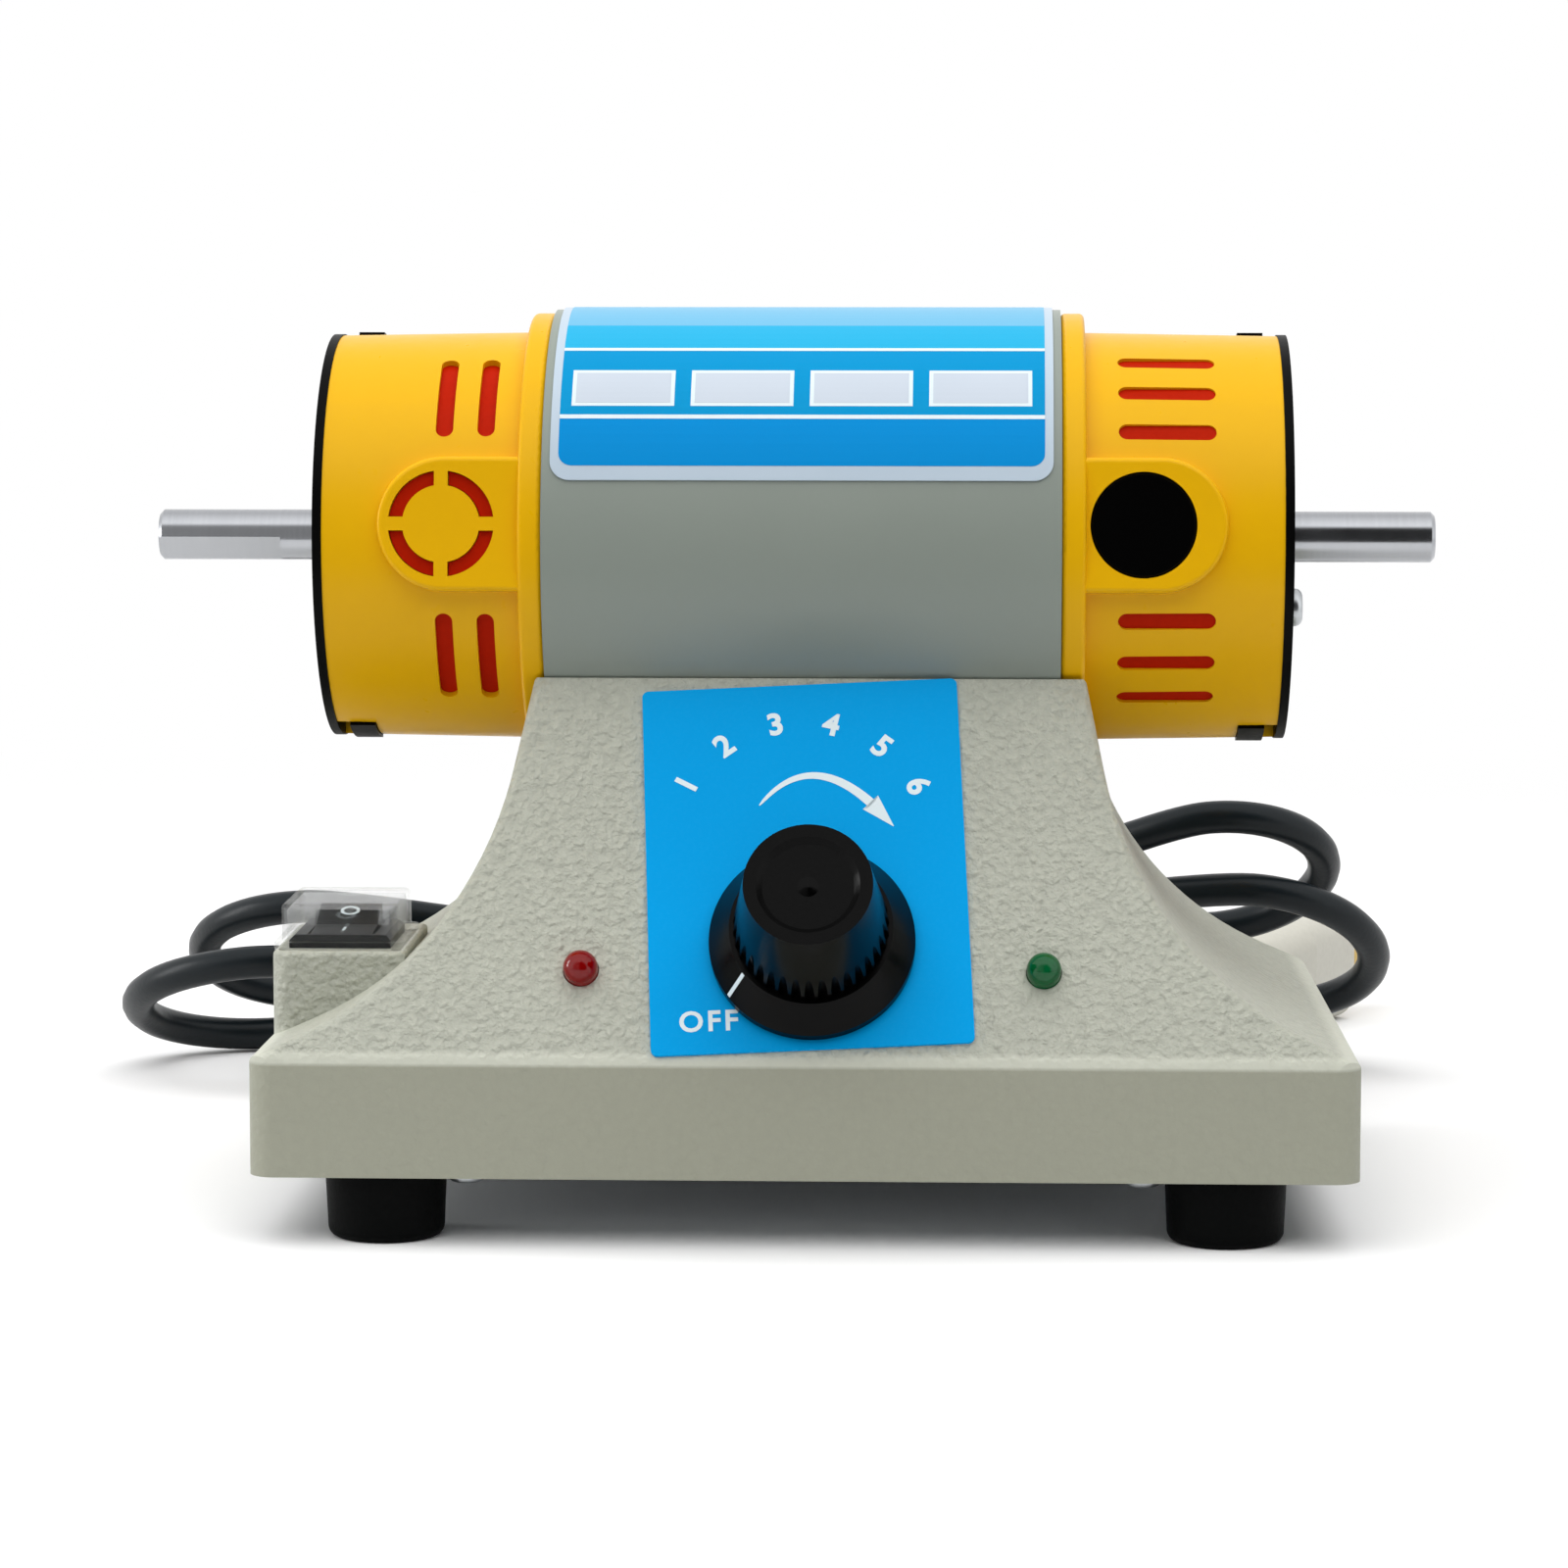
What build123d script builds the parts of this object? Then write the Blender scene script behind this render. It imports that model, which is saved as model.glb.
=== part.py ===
from build123d import *
import math
import os

# Bench polisher. Millimetres; x to the right, y to the back, z up, table top at z = 0.

# Layout of the whole machine
AXIS_Y = 14.0
AXIS_Z = 102.4
MOTOR_X = 2.2
BASE_X = 3.4
FIT_GAP = 0.1
RUN_GAP = 0.08
MOVE_GAP = 0.4

# Base housing, one moulding with pedestal and switch box
WALL = 2.6
FOOT_HEIGHT = 10.5
BASE_WIDTH = 165.3
BASE_EDGE = 17.6
BASE_FRONT = -48.0
BASE_REAR = 62.0
BASE_CORNER = 4.0
EDGE_ROUND = 1.5
FRONT_ROUND = 3.6
SIDE_DRAFT = 1.0
PEDESTAL_TOP = 82.4
PEDESTAL_TOP_WIDTH = 85.4
FLANK_CORNER_WIDTH = 100.9
FLANK_CORNER_Z = 42.4
FLANK_RADIUS = 52.0
PANEL_SLANT = 30.5
REAR_SLANT = 17.0
PANEL_EDGE_ROUND = 1.4
BOX_FRONT = -27.0
BOX_REAR = 6.0
BOX_TOP = 41.4
BOX_SETBACK = 1.0
BOX_CORNER = 3.0
BOX_EDGE_ROUND = 0.8
BASE_TOP = FOOT_HEIGHT + BASE_EDGE
PANEL_TOP_Y = BASE_FRONT + (PEDESTAL_TOP - BASE_TOP) * math.tan(math.radians(PANEL_SLANT))
REAR_TOP_Y = BASE_REAR - (PEDESTAL_TOP - BASE_TOP) * math.tan(math.radians(REAR_SLANT))

# Bottom plate, its screws and the feet
PLATE_THICK = 2.0
BOSS_R = 4.0
BOSS_CLEAR = 0.35
BOSS_INSET_Y = 8.5
PLATE_SCREW_R = 1.5
PLATE_SCREW_LENGTH = 10.0
SCREW_HEAD_R = 2.9
SCREW_HEAD_HEIGHT = 1.9
RECESS_SPAN = 1.1
RECESS_WIDTH = 0.32
RECESS_DEPTH = 0.55
FOOT_R = 9.2
FOOT_TAPER = 0.5
FOOT_ROUND = 1.6
FOOT_SPAN = 126.2
FOOT_INSET = 11.0
FOOT_SCREW_R = 2.0
FOOT_SCREW_HEAD_R = 3.6
FOOT_SCREW_RECESS = 4.0
FOOT_NUT_ACROSS = 7.0
FOOT_NUT_HEIGHT = 3.0

# Control panel: plate, knob, potentiometer and lamps
PANEL_SHIFT = 1.2
CONTROL_WIDTH = 48.0
CONTROL_HEIGHT = 59.6
CONTROL_UP = 31.9
CONTROL_THICK = 0.6
CONTROL_SKEW = 3.0
CONTROL_CORNER = 1.0
KNOB_UP = 18.8
KNOB_SKIRT_R = 15.4
KNOB_SKIRT_EDGE = 1.6
KNOB_SHOULDER_R = 12.2
KNOB_SHOULDER_HEIGHT = 6.4
KNOB_BARREL_R = 11.6
KNOB_TOP_R = 9.5
KNOB_HEIGHT = 22.6
KNOB_RIM = 1.9
KNOB_DISH = 0.9
KNOB_NUB_R = 1.6
KNOB_NUB = 0.5
KNOB_FLUTES = 36
KNOB_FLUTE_R = 0.75
KNOB_HOLLOW_R = 9.0
KNOB_HOLLOW_DEPTH = 5.5
POT_R = 12.0
POT_DEPTH = 12.0
POT_BUSH_R = 3.5
POT_BUSH_LENGTH = 3.4
POT_SHAFT_R = 3.0
POT_NUT_ACROSS = 10.0
POT_NUT_HEIGHT = 2.2
LAMP_R = 2.6
LAMP_STAND = 1.0
LAMP_FLANGE_R = 3.6
LAMP_FLANGE = 1.2
LAMP_BODY = 5.0
LAMP_UP = 14.8
LAMP_SPAN = 69.0

# Rocker switch in the switch box, under a clear cover
SWITCH_X = -68.2
SWITCH_Y = -13.2
SWITCH_WIDTH = 15.5
SWITCH_LENGTH = 19.5
BEZEL_HEIGHT = 2.0
SWITCH_BODY_WIDTH = 12.8
SWITCH_BODY_LENGTH = 17.0
SWITCH_BODY_DEPTH = 13.0
ROCKER_WIDTH = 9.5
ROCKER_LENGTH = 14.0
ROCKER_RISE = 3.5
ROCKER_DIP = 2.5
ROCKER_KEEL = 1.5
ROCKER_TILT = 12.0
ROCKER_POCKET_LENGTH = 16.2
ROCKER_POCKET_DEPTH = 6.0
ROCKER_PIN_R = 1.0
TERMINAL_WIDTH = 4.8
TERMINAL_THICK = 0.8
TERMINAL_LENGTH = 7.0
TERMINAL_PITCH = 6.5
COVER_WALL = 0.9
COVER_HEIGHT = 6.9
COVER_CLEAR = 0.25
COVER_FLANGE_WIDTH = 19.8
COVER_FLANGE_LENGTH = 24.6
COVER_FLANGE = 1.2
COVER_CORNER = 1.6

# Motor casing
TUBE_R = 35.6
TUBE_WALL = 2.0
TUBE_LENGTH = 79.0
LABEL_LENGTH = 76.4
LABEL_FROM_ANGLE = 17.0
LABEL_TO_ANGLE = 120.0
LABEL_THICK = 0.3
LABEL_CORNER = 3.0
CRADLE_SCREW_SPAN = 50.0
CRADLE_SCREW_R = 2.0
CRADLE_HEAD_R = 3.6
CRADLE_HEAD_HEIGHT = 2.4

# End caps
FLANGE_R = 35.0
FLANGE_WIDTH = 3.7
FLANGE_ROUND = 0.8
CAP_R = 32.0
CAP_END_R = 31.5
CAP_LENGTH = 33.9
CAP_WALL = 2.2
SPIGOT_LENGTH = 4.0
WEB_AT = 22.4
WEB_THICK = 3.0
WEB_HOLE_R = 8.0
BEARING_R = 11.0
BEARING_WIDTH = 7.0
BEARING_SPLIT_R = 7.4
HUB_WALL = 3.0
PAD_ANGLE = 6.5
PAD_R = 10.25
PAD_AT = 15.0
PAD_FACE = 33.2
PAD_ROUND = 0.8
RING_OUTER_R = 8.1
RING_INNER_R = 5.9
RING_BRIDGE = 2.1
RING_AT = 15.4
SLOT_WIDTH = 2.7
SIDE_SLOT_FROM_ANGLE = 27.6
SIDE_SLOT_TO_ANGLE = 52.6
SIDE_SLOT_AT = 9.0
SIDE_SLOT_PITCH = 6.4
LONG_SLOT_LENGTH = 14.9
LONG_SLOT_AT = 16.1
LONG_SLOT_FIRST_ANGLE = 27.0
LONG_SLOT_PITCH_ANGLE = 13.5
LONG_SLOTS = 3
LINING_THICK = 0.8
END_PLATE_R = 31.7
END_PLATE_THICK = 1.4
END_PLATE_HOLE_R = 5.0
END_SCREW_CIRCLE = 22.0
END_SCREW_R = 1.5
END_SCREW_LENGTH = 7.0
END_POST_R = 3.4
LEFT_SCREW_ANGLE = 100.0
RIGHT_SCREW_ANGLE = -26.0
CLIP_ANGLE = 105.5
CLIP_WIDTH = 11.0
CLIP_LENGTH = 6.0
CLIP_THICK = 1.0
HOOK_LENGTH = 4.0
HOOK_STAND = 0.1
TIE_BOLT_CIRCLE = 24.5
TIE_BOLT_R = 1.9
TIE_BOLT_HEAD_R = 3.4
TIE_BOLT_HEAD = 2.5
TIE_BOLT_ANGLE = 70.0

# Spindle, armature, stator and brushes
SPINDLE_LENGTH = 201.3
SPINDLE_R = 4.0
SPINDLE_CHAMFER = 0.6
SHAFT_R = 5.0
RELIEF_R = 3.7
RELIEF_WIDTH = 0.8
FLAT_LENGTH = 19.4
FLAT_DEPTH = 0.7
FLAT_ANGLE = -36.0
TIP_EASE = 0.02
CORE_R = 18.0
CORE_LENGTH = 40.0
CORE_SLOTS = 12
CORE_SLOT_WIDTH = 2.6
CORE_SLOT_DEPTH = 8.0
WINDING_R = 16.0
WINDING_LENGTH = 10.5
WINDING_ROUND = 4.0
COMMUTATOR_R = 11.0
COMMUTATOR_LENGTH = 16.0
COMMUTATOR_BARS = 24
COMMUTATOR_CUT = 0.7
FAN_AT = 4.0
FAN_R = 21.0
FAN_HUB_R = 8.0
FAN_DISC = 1.5
FAN_DEPTH = 9.0
FAN_BLADES = 9
FAN_BLADE = 1.2
STATOR_R = 33.3
YOKE = 5.8
AIR_GAP = 0.6
STATOR_LENGTH = 42.0
POLE_HALF_ANGLE = 56.0
COIL_HALF_ANGLE = 78.0
COIL_END = 7.0
COIL_GAP = 0.4
BRUSH_AT = 12.4
BRUSH_SIZE = 6.0
BRUSH_LENGTH = 11.0
BRUSH_LIFT = 0.3
HOLDER_R = 5.0
HOLDER_FROM = 13.5
SPRING_R = 2.6
SPRING_WALL = 0.7
BRUSH_CAP_R = 8.0
BRUSH_CAP_THICK = 1.5
BRUSH_CAP_SHANK_R = 2.7
BRUSH_CAP_SHANK = 2.6

# Control board on the bottom plate
BOARD_LENGTH = 64.0
BOARD_WIDTH = 44.0
BOARD_THICK = 1.6
BOARD_Y = 24.0
BOARD_STAND = 6.0
BOARD_HOLE_INSET = 4.0
PILLAR_R = 3.0
BOARD_SCREW_R = 1.3
BOARD_SCREW_LENGTH = 5.0
CAPACITOR_R = 6.0
CAPACITOR_HEIGHT = 15.0
CHOKE_R = 8.0
CHOKE_HOLE_R = 3.0
CHOKE_HEIGHT = 8.0
BLOCK_LENGTH = 20.0
BLOCK_WIDTH = 8.0
BLOCK_HEIGHT = 10.0
SINK_LENGTH = 26.0
SINK_DEPTH = 11.0
SINK_HEIGHT = 22.0
SINK_FINS = 6
SINK_FIN = 1.6
SINK_BACK = 3.0

# Mains lead, its hank and plug
CORD_R = 2.9
GLAND_X = -69.0
GLAND_Z = 20.0
GLAND_HOLE_R = 4.4
GLAND_COLLAR_R = 6.2
GLAND_COLLAR = 2.6
GLAND_INSIDE = 11.0
GLAND_LENGTH = 10.0
GLAND_NOSE_R = 3.7
HANK_X = -3.0
HANK_Y = 112.0
HANK_Z = 25.6
HANK_RISE = 3.9
HANK_LEAN = 36.0
HANK_TURNS = 2
RIGHT_REACH = (94.0, 102.0)
RIGHT_SKEW = (-5.5, 8.0)
RIGHT_LAYER = (4.0, -8.5)
LEFT_REACH = (107.5, 119.0)
LEFT_SKEW = (5.6, 4.4)
LEFT_LAYER = (5.5, -5.2)
LEFT_TWIST = (6.0, 12.0)
STRAND_STEP = 3.35
STRAND_ROW = 2.95
STRAND_STRAIGHT = 6.0
CORNER_SHARE = 0.45
LEAD_WAY = ((GLAND_X, 85.5, GLAND_Z + 1.0), (-50.0, 100.5, 35.0))
LEAD_RUN = 14.0
TAIL_WAY = ((36.0, 108.0, 12.5), (52.0, 117.5, 5.2))
TAIL_RUN = 14.0
PLUG_RUN = 10.0
TIE_LENGTH = 8.0
TIE_THICK = 1.0
PLUG_AT = (68.0, 144.0)
PLUG_TURN = 63.0
SLEEVE_LENGTH = 15.0
SLEEVE_R = 5.2
SLEEVE_NOSE_R = 3.6
SLEEVE_RINGS = 4
SLEEVE_RING_CUT = 0.7
PLUG_WIDTH = 26.0
PLUG_HEIGHT = 20.5
PLUG_LENGTH = 32.0
PLUG_NECK_WIDTH = 19.0
PLUG_NECK_HEIGHT = 16.0
PLUG_NECK = 14.0
PLUG_CORNER = 5.0
PIN_WIDTH = 6.3
PIN_THICK = 1.5
PIN_LENGTH = 16.0
PIN_SPAN = 12.7

MOTOR_AXIS = Axis((0, AXIS_Y, AXIS_Z), (1, 0, 0))
TUBE_HALF = TUBE_LENGTH / 2
PANEL = Plane(
    origin=(BASE_X + PANEL_SHIFT, BASE_FRONT, BASE_TOP),
    x_dir=(1, 0, 0),
    z_dir=(0, -math.cos(math.radians(PANEL_SLANT)), math.sin(math.radians(PANEL_SLANT))),
).location
LOW = (Align.CENTER, Align.CENTER, Align.MIN)
HIGH = (Align.CENTER, Align.CENTER, Align.MAX)


def along_x(x0, x1, radius):
    """Round bar on the spindle line between two x positions."""
    return Pos(x0, AXIS_Y, AXIS_Z) * Rot(0, 90, 0) * Cylinder(radius, x1 - x0, align=LOW)


def ring_x(x0, x1, outer, inner):
    """Round ring on the spindle line."""
    return along_x(x0, x1, outer) - along_x(x0, x1, inner)


def spoke(x, angle):
    """Frame on the spindle line whose z axis points out at an angle above the front."""
    turn = math.radians(angle)
    z_dir = (0, -math.cos(turn), math.sin(turn))
    return Plane(origin=(x, AXIS_Y, AXIS_Z), x_dir=(1, 0, 0), z_dir=z_dir).location


def radial_strip(x0, x1, r0, r1, angle_from, angle_to):
    """Curved strip round the spindle line between two radii and two angles above the front."""
    corners = [(x0, 0, r0), (x1, 0, r0), (x1, 0, r1), (x0, 0, r1)]
    face = make_face(Polyline(*corners, close=True))
    return revolve(spoke(0, angle_to) * face, axis=MOTOR_AXIS, revolution_arc=angle_to - angle_from)


def cap_x(side, t):
    """x position at a distance out from the tube's end."""
    return MOTOR_X + (TUBE_HALF + t) * (1 if side == "right" else -1)


def between(side, t0, t1):
    """The two x positions of a stretch beyond the tube's end, low one first."""
    return sorted((cap_x(side, t0), cap_x(side, t1)))


def draft_at(y):
    """How far the sides have closed in at a depth behind the front edge."""
    return (y - BASE_FRONT) * math.tan(math.radians(SIDE_DRAFT))


def front_outline(y, floor_z):
    """Front view of the housing at one depth: base edge, concave flank and pedestal top."""
    base = BASE_WIDTH / 2 - draft_at(y)
    bend = FLANK_CORNER_WIDTH / 2 - draft_at(y)
    top = PEDESTAL_TOP_WIDTH / 2 - draft_at(y)
    flank = FilletPolyline(
        (base, floor_z),
        (base, BASE_TOP),
        (bend, FLANK_CORNER_Z),
        (top, PEDESTAL_TOP),
        radius=[EDGE_ROUND, FLANK_RADIUS],
    )
    other = mirror(flank, Plane.YZ)
    lid = Line((-top, PEDESTAL_TOP), (top, PEDESTAL_TOP))
    floor = Line((-base, floor_z), (base, floor_z))
    return make_face(flank.edges() + other.edges() + lid.edges() + floor.edges())


def side_outline(floor_z):
    """Side view of the housing: upright base edge, slanted front panel and back."""
    points = [
        (BASE_FRONT, floor_z),
        (BASE_FRONT, BASE_TOP),
        (PANEL_TOP_Y, PEDESTAL_TOP),
        (REAR_TOP_Y, PEDESTAL_TOP),
        (BASE_REAR, BASE_TOP),
        (BASE_REAR, floor_z),
    ]
    face = make_face(Polyline(*points, close=True))
    for end, radius in ((0, FRONT_ROUND), (-1, EDGE_ROUND)):
        shoulder = face.vertices().filter_by(lambda v: abs(v.Y - BASE_TOP) < FIT_GAP).sort_by(Axis.X)[end]
        face = fillet(shoulder, radius)
    return face


def housing_form(inset, floor_z):
    """Base and pedestal as the common part of their front and side views."""
    ends = []
    for y in (BASE_FRONT, BASE_REAR):
        view = front_outline(y, floor_z)
        if inset:
            view = offset(view, -inset, kind=Kind.INTERSECTION)
        ends.append(Plane(origin=(BASE_X, y, 0), x_dir=(1, 0, 0), z_dir=(0, -1, 0)) * view)
    side = side_outline(floor_z)
    if inset:
        side = offset(side, -inset, kind=Kind.INTERSECTION)
    across = extrude(Plane.YZ * side, BASE_WIDTH, both=True)
    return loft(ends, ruled=True) & across


def round_panel_sides(form):
    """Rounds the two long edges between the slanted panel and the flanks."""
    on_panel = form.edges().filter_by(lambda e: abs(Plane(PANEL).to_local_coords(e.center()).Z) < FIT_GAP)
    sides = on_panel.filter_by(lambda e: abs(e.tangent_at(0.5).X) < math.cos(math.radians(SIDE_DRAFT)))
    return fillet(sides, PANEL_EDGE_ROUND)


def corner_cutter(y, side, end):
    """What the rounding takes off an upright corner of the base."""
    x = BASE_X + side * (BASE_WIDTH / 2 - draft_at(y))
    centre = Pos(x - side * BASE_CORNER, y - end * BASE_CORNER, 0)
    block = Box(2 * BASE_CORNER, 2 * BASE_CORNER, PEDESTAL_TOP, align=LOW)
    block = Pos(side * BASE_CORNER, end * BASE_CORNER, 0) * block
    return centre * (block - Cylinder(BASE_CORNER, PEDESTAL_TOP, align=LOW))


def switch_box(inset, floor_z):
    """Box on the left shoulder of the base that holds the switch."""
    left = BASE_X - BASE_WIDTH / 2 + BOX_SETBACK + inset
    right = SWITCH_X + SWITCH_WIDTH / 2 + WALL
    depth = BOX_REAR - BOX_FRONT - 2 * inset
    plan = Pos((left + right) / 2, (BOX_FRONT + BOX_REAR) / 2) * Rectangle(right - left, depth)
    plan = fillet(plan.vertices().group_by(Axis.X)[0], BOX_CORNER)
    box = extrude(Pos(0, 0, floor_z) * plan, BOX_TOP - inset - floor_z)
    if inset:
        return box
    return fillet(box.faces().sort_by(Axis.Z)[-1].edges(), BOX_EDGE_ROUND)


def plate_screw_spots():
    """Plan positions of the bottom plate's screws."""
    x = FOOT_SPAN / 2 - FOOT_R - SCREW_HEAD_R - BOSS_CLEAR
    ys = (BASE_FRONT + BOSS_INSET_Y, BASE_REAR - BOSS_INSET_Y)
    return [(BASE_X + s * x, y) for s in (-1, 1) for y in ys]


def foot_spots():
    """Plan positions of the feet."""
    ys = (BASE_FRONT + FOOT_INSET, BASE_REAR - FOOT_INSET)
    return [(BASE_X + s * FOOT_SPAN / 2, y) for s in (-1, 1) for y in ys]


def cradle_screw_spots():
    """Plan positions of the screws that hold the motor tube down."""
    return [(MOTOR_X + s * CRADLE_SCREW_SPAN / 2, AXIS_Y) for s in (-1, 1)]


def base_housing():
    """Hollow moulding: base, pedestal with the motor's cradle, and switch box."""
    outer = round_panel_sides(housing_form(0, FOOT_HEIGHT))
    for side in (-1, 1):
        outer -= corner_cutter(BASE_FRONT, side, -1)
        outer -= corner_cutter(BASE_REAR, side, 1)
    outer += switch_box(0, BASE_TOP - EDGE_ROUND)
    hollow = housing_form(WALL, FOOT_HEIGHT - 2 * WALL) + switch_box(WALL, FOOT_HEIGHT - WALL)
    reach = BASE_WIDTH
    hollow -= along_x(-reach, reach, TUBE_R + FIT_GAP + WALL)
    body = outer - hollow - along_x(-reach, reach, TUBE_R + FIT_GAP)
    plate_top = FOOT_HEIGHT + PLATE_THICK
    middle = housing_form(WALL / 2, FOOT_HEIGHT)
    for x, y in plate_screw_spots():
        boss = middle & Pos(x, y, plate_top) * Cylinder(BOSS_R, PEDESTAL_TOP, align=LOW)
        pilot = Pos(x, y, plate_top) * Cylinder(PLATE_SCREW_R + FIT_GAP, PLATE_SCREW_LENGTH, align=LOW)
        body = body + boss - pilot
    for x, y in cradle_screw_spots():
        body -= Pos(x, y, BASE_TOP) * Cylinder(CRADLE_SCREW_R + FIT_GAP, PEDESTAL_TOP, align=LOW)
    body -= PANEL * Pos(0, KNOB_UP, 0) * Cylinder(POT_BUSH_R + FIT_GAP, 4 * WALL)
    for side in (-1, 1):
        body -= PANEL * Pos(side * LAMP_SPAN / 2, LAMP_UP, 0) * Cylinder(LAMP_R + FIT_GAP, 4 * WALL)
    body -= Pos(GLAND_X, BASE_REAR, GLAND_Z) * Rot(90, 0, 0) * Cylinder(GLAND_HOLE_R + FIT_GAP, 4 * WALL)
    gap = 2 * FIT_GAP
    opening = Box(SWITCH_BODY_WIDTH + gap, SWITCH_BODY_LENGTH + gap, 4 * WALL)
    return body - switch_place() * opening


def bottom_plate():
    """Flat plate that closes the base, with four pillars for the board."""
    front = BASE_FRONT + WALL + FIT_GAP
    rear = BASE_REAR - WALL - FIT_GAP
    half_front = BASE_WIDTH / 2 - WALL - 2 * FIT_GAP - draft_at(front)
    half_rear = BASE_WIDTH / 2 - WALL - 2 * FIT_GAP - draft_at(rear)
    points = [(-half_front, front), (half_front, front), (half_rear, rear), (-half_rear, rear)]
    plan = Pos(BASE_X, 0, FOOT_HEIGHT) * make_face(Polyline(*points, close=True))
    plate = extrude(plan, PLATE_THICK)
    for x, y in plate_screw_spots():
        plate -= Pos(x, y, FOOT_HEIGHT) * Cylinder(PLATE_SCREW_R + FIT_GAP, 4 * PLATE_THICK)
    for x, y in foot_spots():
        plate -= Pos(x, y, FOOT_HEIGHT) * Cylinder(FOOT_SCREW_R + FIT_GAP, 4 * PLATE_THICK)
    for x, y in board_spots():
        top = FOOT_HEIGHT + PLATE_THICK
        plate += Pos(x, y, top) * Cylinder(PILLAR_R, BOARD_STAND, align=LOW)
        depth = BOARD_SCREW_LENGTH
        plate -= Pos(x, y, top + BOARD_STAND) * Cylinder(BOARD_SCREW_R + FIT_GAP, depth, align=HIGH)
    return plate


def screw(shank_r, length, head_r, head_height):
    """Round-headed cross-recessed screw standing on its head's underside at z = 0, shank downwards."""
    head = Cylinder(head_r, head_height, align=LOW)
    head = fillet(head.faces().sort_by(Axis.Z)[-1].edges(), 0.6 * head_height)
    bar = Box(RECESS_SPAN * head_r, RECESS_WIDTH * head_r, 2 * RECESS_DEPTH * head_height)
    head -= Pos(0, 0, head_height) * (bar + Rot(0, 0, 90) * bar)
    return head + Cylinder(shank_r, length, align=HIGH)


def hex_nut(across, height, hole_r):
    """Six-sided nut standing at z = 0."""
    return extrude(RegularPolygon(across / 2, 6, major_radius=False) - Circle(hole_r), height)


def rubber_foot():
    """Round rubber foot with a rounded tread and a recess for its screw."""
    foot = Cone(FOOT_R - FOOT_TAPER, FOOT_R, FOOT_HEIGHT, align=LOW)
    foot = fillet(foot.faces().sort_by(Axis.Z)[0].edges(), FOOT_ROUND)
    foot -= Cylinder(FOOT_SCREW_HEAD_R + FIT_GAP, FOOT_SCREW_RECESS, align=LOW)
    return foot - Cylinder(FOOT_SCREW_R + FIT_GAP, 3 * FOOT_HEIGHT)


def foot_screw():
    """Pan-headed screw up through a foot and the bottom plate."""
    length = FOOT_HEIGHT - FOOT_SCREW_RECESS + PLATE_THICK + FOOT_NUT_HEIGHT + FIT_GAP
    return Rot(180, 0, 0) * screw(FOOT_SCREW_R, length, FOOT_SCREW_HEAD_R, SCREW_HEAD_HEIGHT)


def board_spots():
    """Plan positions of the board's pillars."""
    x = BOARD_LENGTH / 2 - BOARD_HOLE_INSET
    y = BOARD_WIDTH / 2 - BOARD_HOLE_INSET
    return [(BASE_X + i * x, BOARD_Y + j * y) for i in (-1, 1) for j in (-1, 1)]


def control_board():
    """Bare circuit board with its four holes."""
    level = FOOT_HEIGHT + PLATE_THICK + BOARD_STAND
    board = Pos(BASE_X, BOARD_Y, level) * Box(BOARD_LENGTH, BOARD_WIDTH, BOARD_THICK, align=LOW)
    for x, y in board_spots():
        board -= Pos(x, y, level) * Cylinder(BOARD_SCREW_R + FIT_GAP, 4 * BOARD_THICK)
    return board


def board_parts():
    """Capacitor, choke and terminal block standing on the board."""
    level = FOOT_HEIGHT + PLATE_THICK + BOARD_STAND + BOARD_THICK
    step = BOARD_LENGTH / 4
    capacitor = Cylinder(CAPACITOR_R, CAPACITOR_HEIGHT, align=LOW)
    choke = Cylinder(CHOKE_R, CHOKE_HEIGHT, align=LOW) - Cylinder(CHOKE_HOLE_R, 3 * CHOKE_HEIGHT)
    block = Box(BLOCK_LENGTH, BLOCK_WIDTH, BLOCK_HEIGHT, align=LOW)
    return [
        Pos(BASE_X - 1.25 * step, BOARD_Y - step / 4, level) * capacitor,
        Pos(BASE_X - step / 4, BOARD_Y - step / 4, level) * choke,
        Pos(BASE_X + 0.7 * step, BOARD_Y - BOARD_WIDTH / 2 + BLOCK_WIDTH, level) * block,
    ]


def heat_sink():
    """Finned heat sink of the speed control."""
    level = FOOT_HEIGHT + PLATE_THICK + BOARD_STAND + BOARD_THICK
    sink = Box(SINK_LENGTH, SINK_BACK, SINK_HEIGHT, align=(Align.CENTER, Align.MIN, Align.MIN))
    pitch = (SINK_LENGTH - SINK_FIN) / (SINK_FINS - 1)
    for i in range(SINK_FINS):
        fin = Box(SINK_FIN, SINK_DEPTH, SINK_HEIGHT, align=(Align.CENTER, Align.MIN, Align.MIN))
        sink += Pos((i - (SINK_FINS - 1) / 2) * pitch, 0, 0) * fin
    return Pos(BASE_X, BOARD_Y + BOARD_WIDTH / 2 - SINK_DEPTH, level) * sink


def control_plate():
    """Thin control plate stuck a little crooked on the slanted panel."""
    plate = extrude(RectangleRounded(CONTROL_WIDTH, CONTROL_HEIGHT, CONTROL_CORNER), CONTROL_THICK)
    plate = Pos(-PANEL_SHIFT, CONTROL_UP, 0) * Rot(0, 0, CONTROL_SKEW) * plate
    plate -= Pos(0, KNOB_UP, 0) * Cylinder(POT_BUSH_R + FIT_GAP, 4 * CONTROL_THICK)
    return PANEL * plate


def knob_place():
    """Frame of the knob: on the control plate's face, z along its turning axis."""
    return PANEL * Pos(0, KNOB_UP, CONTROL_THICK)


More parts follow.
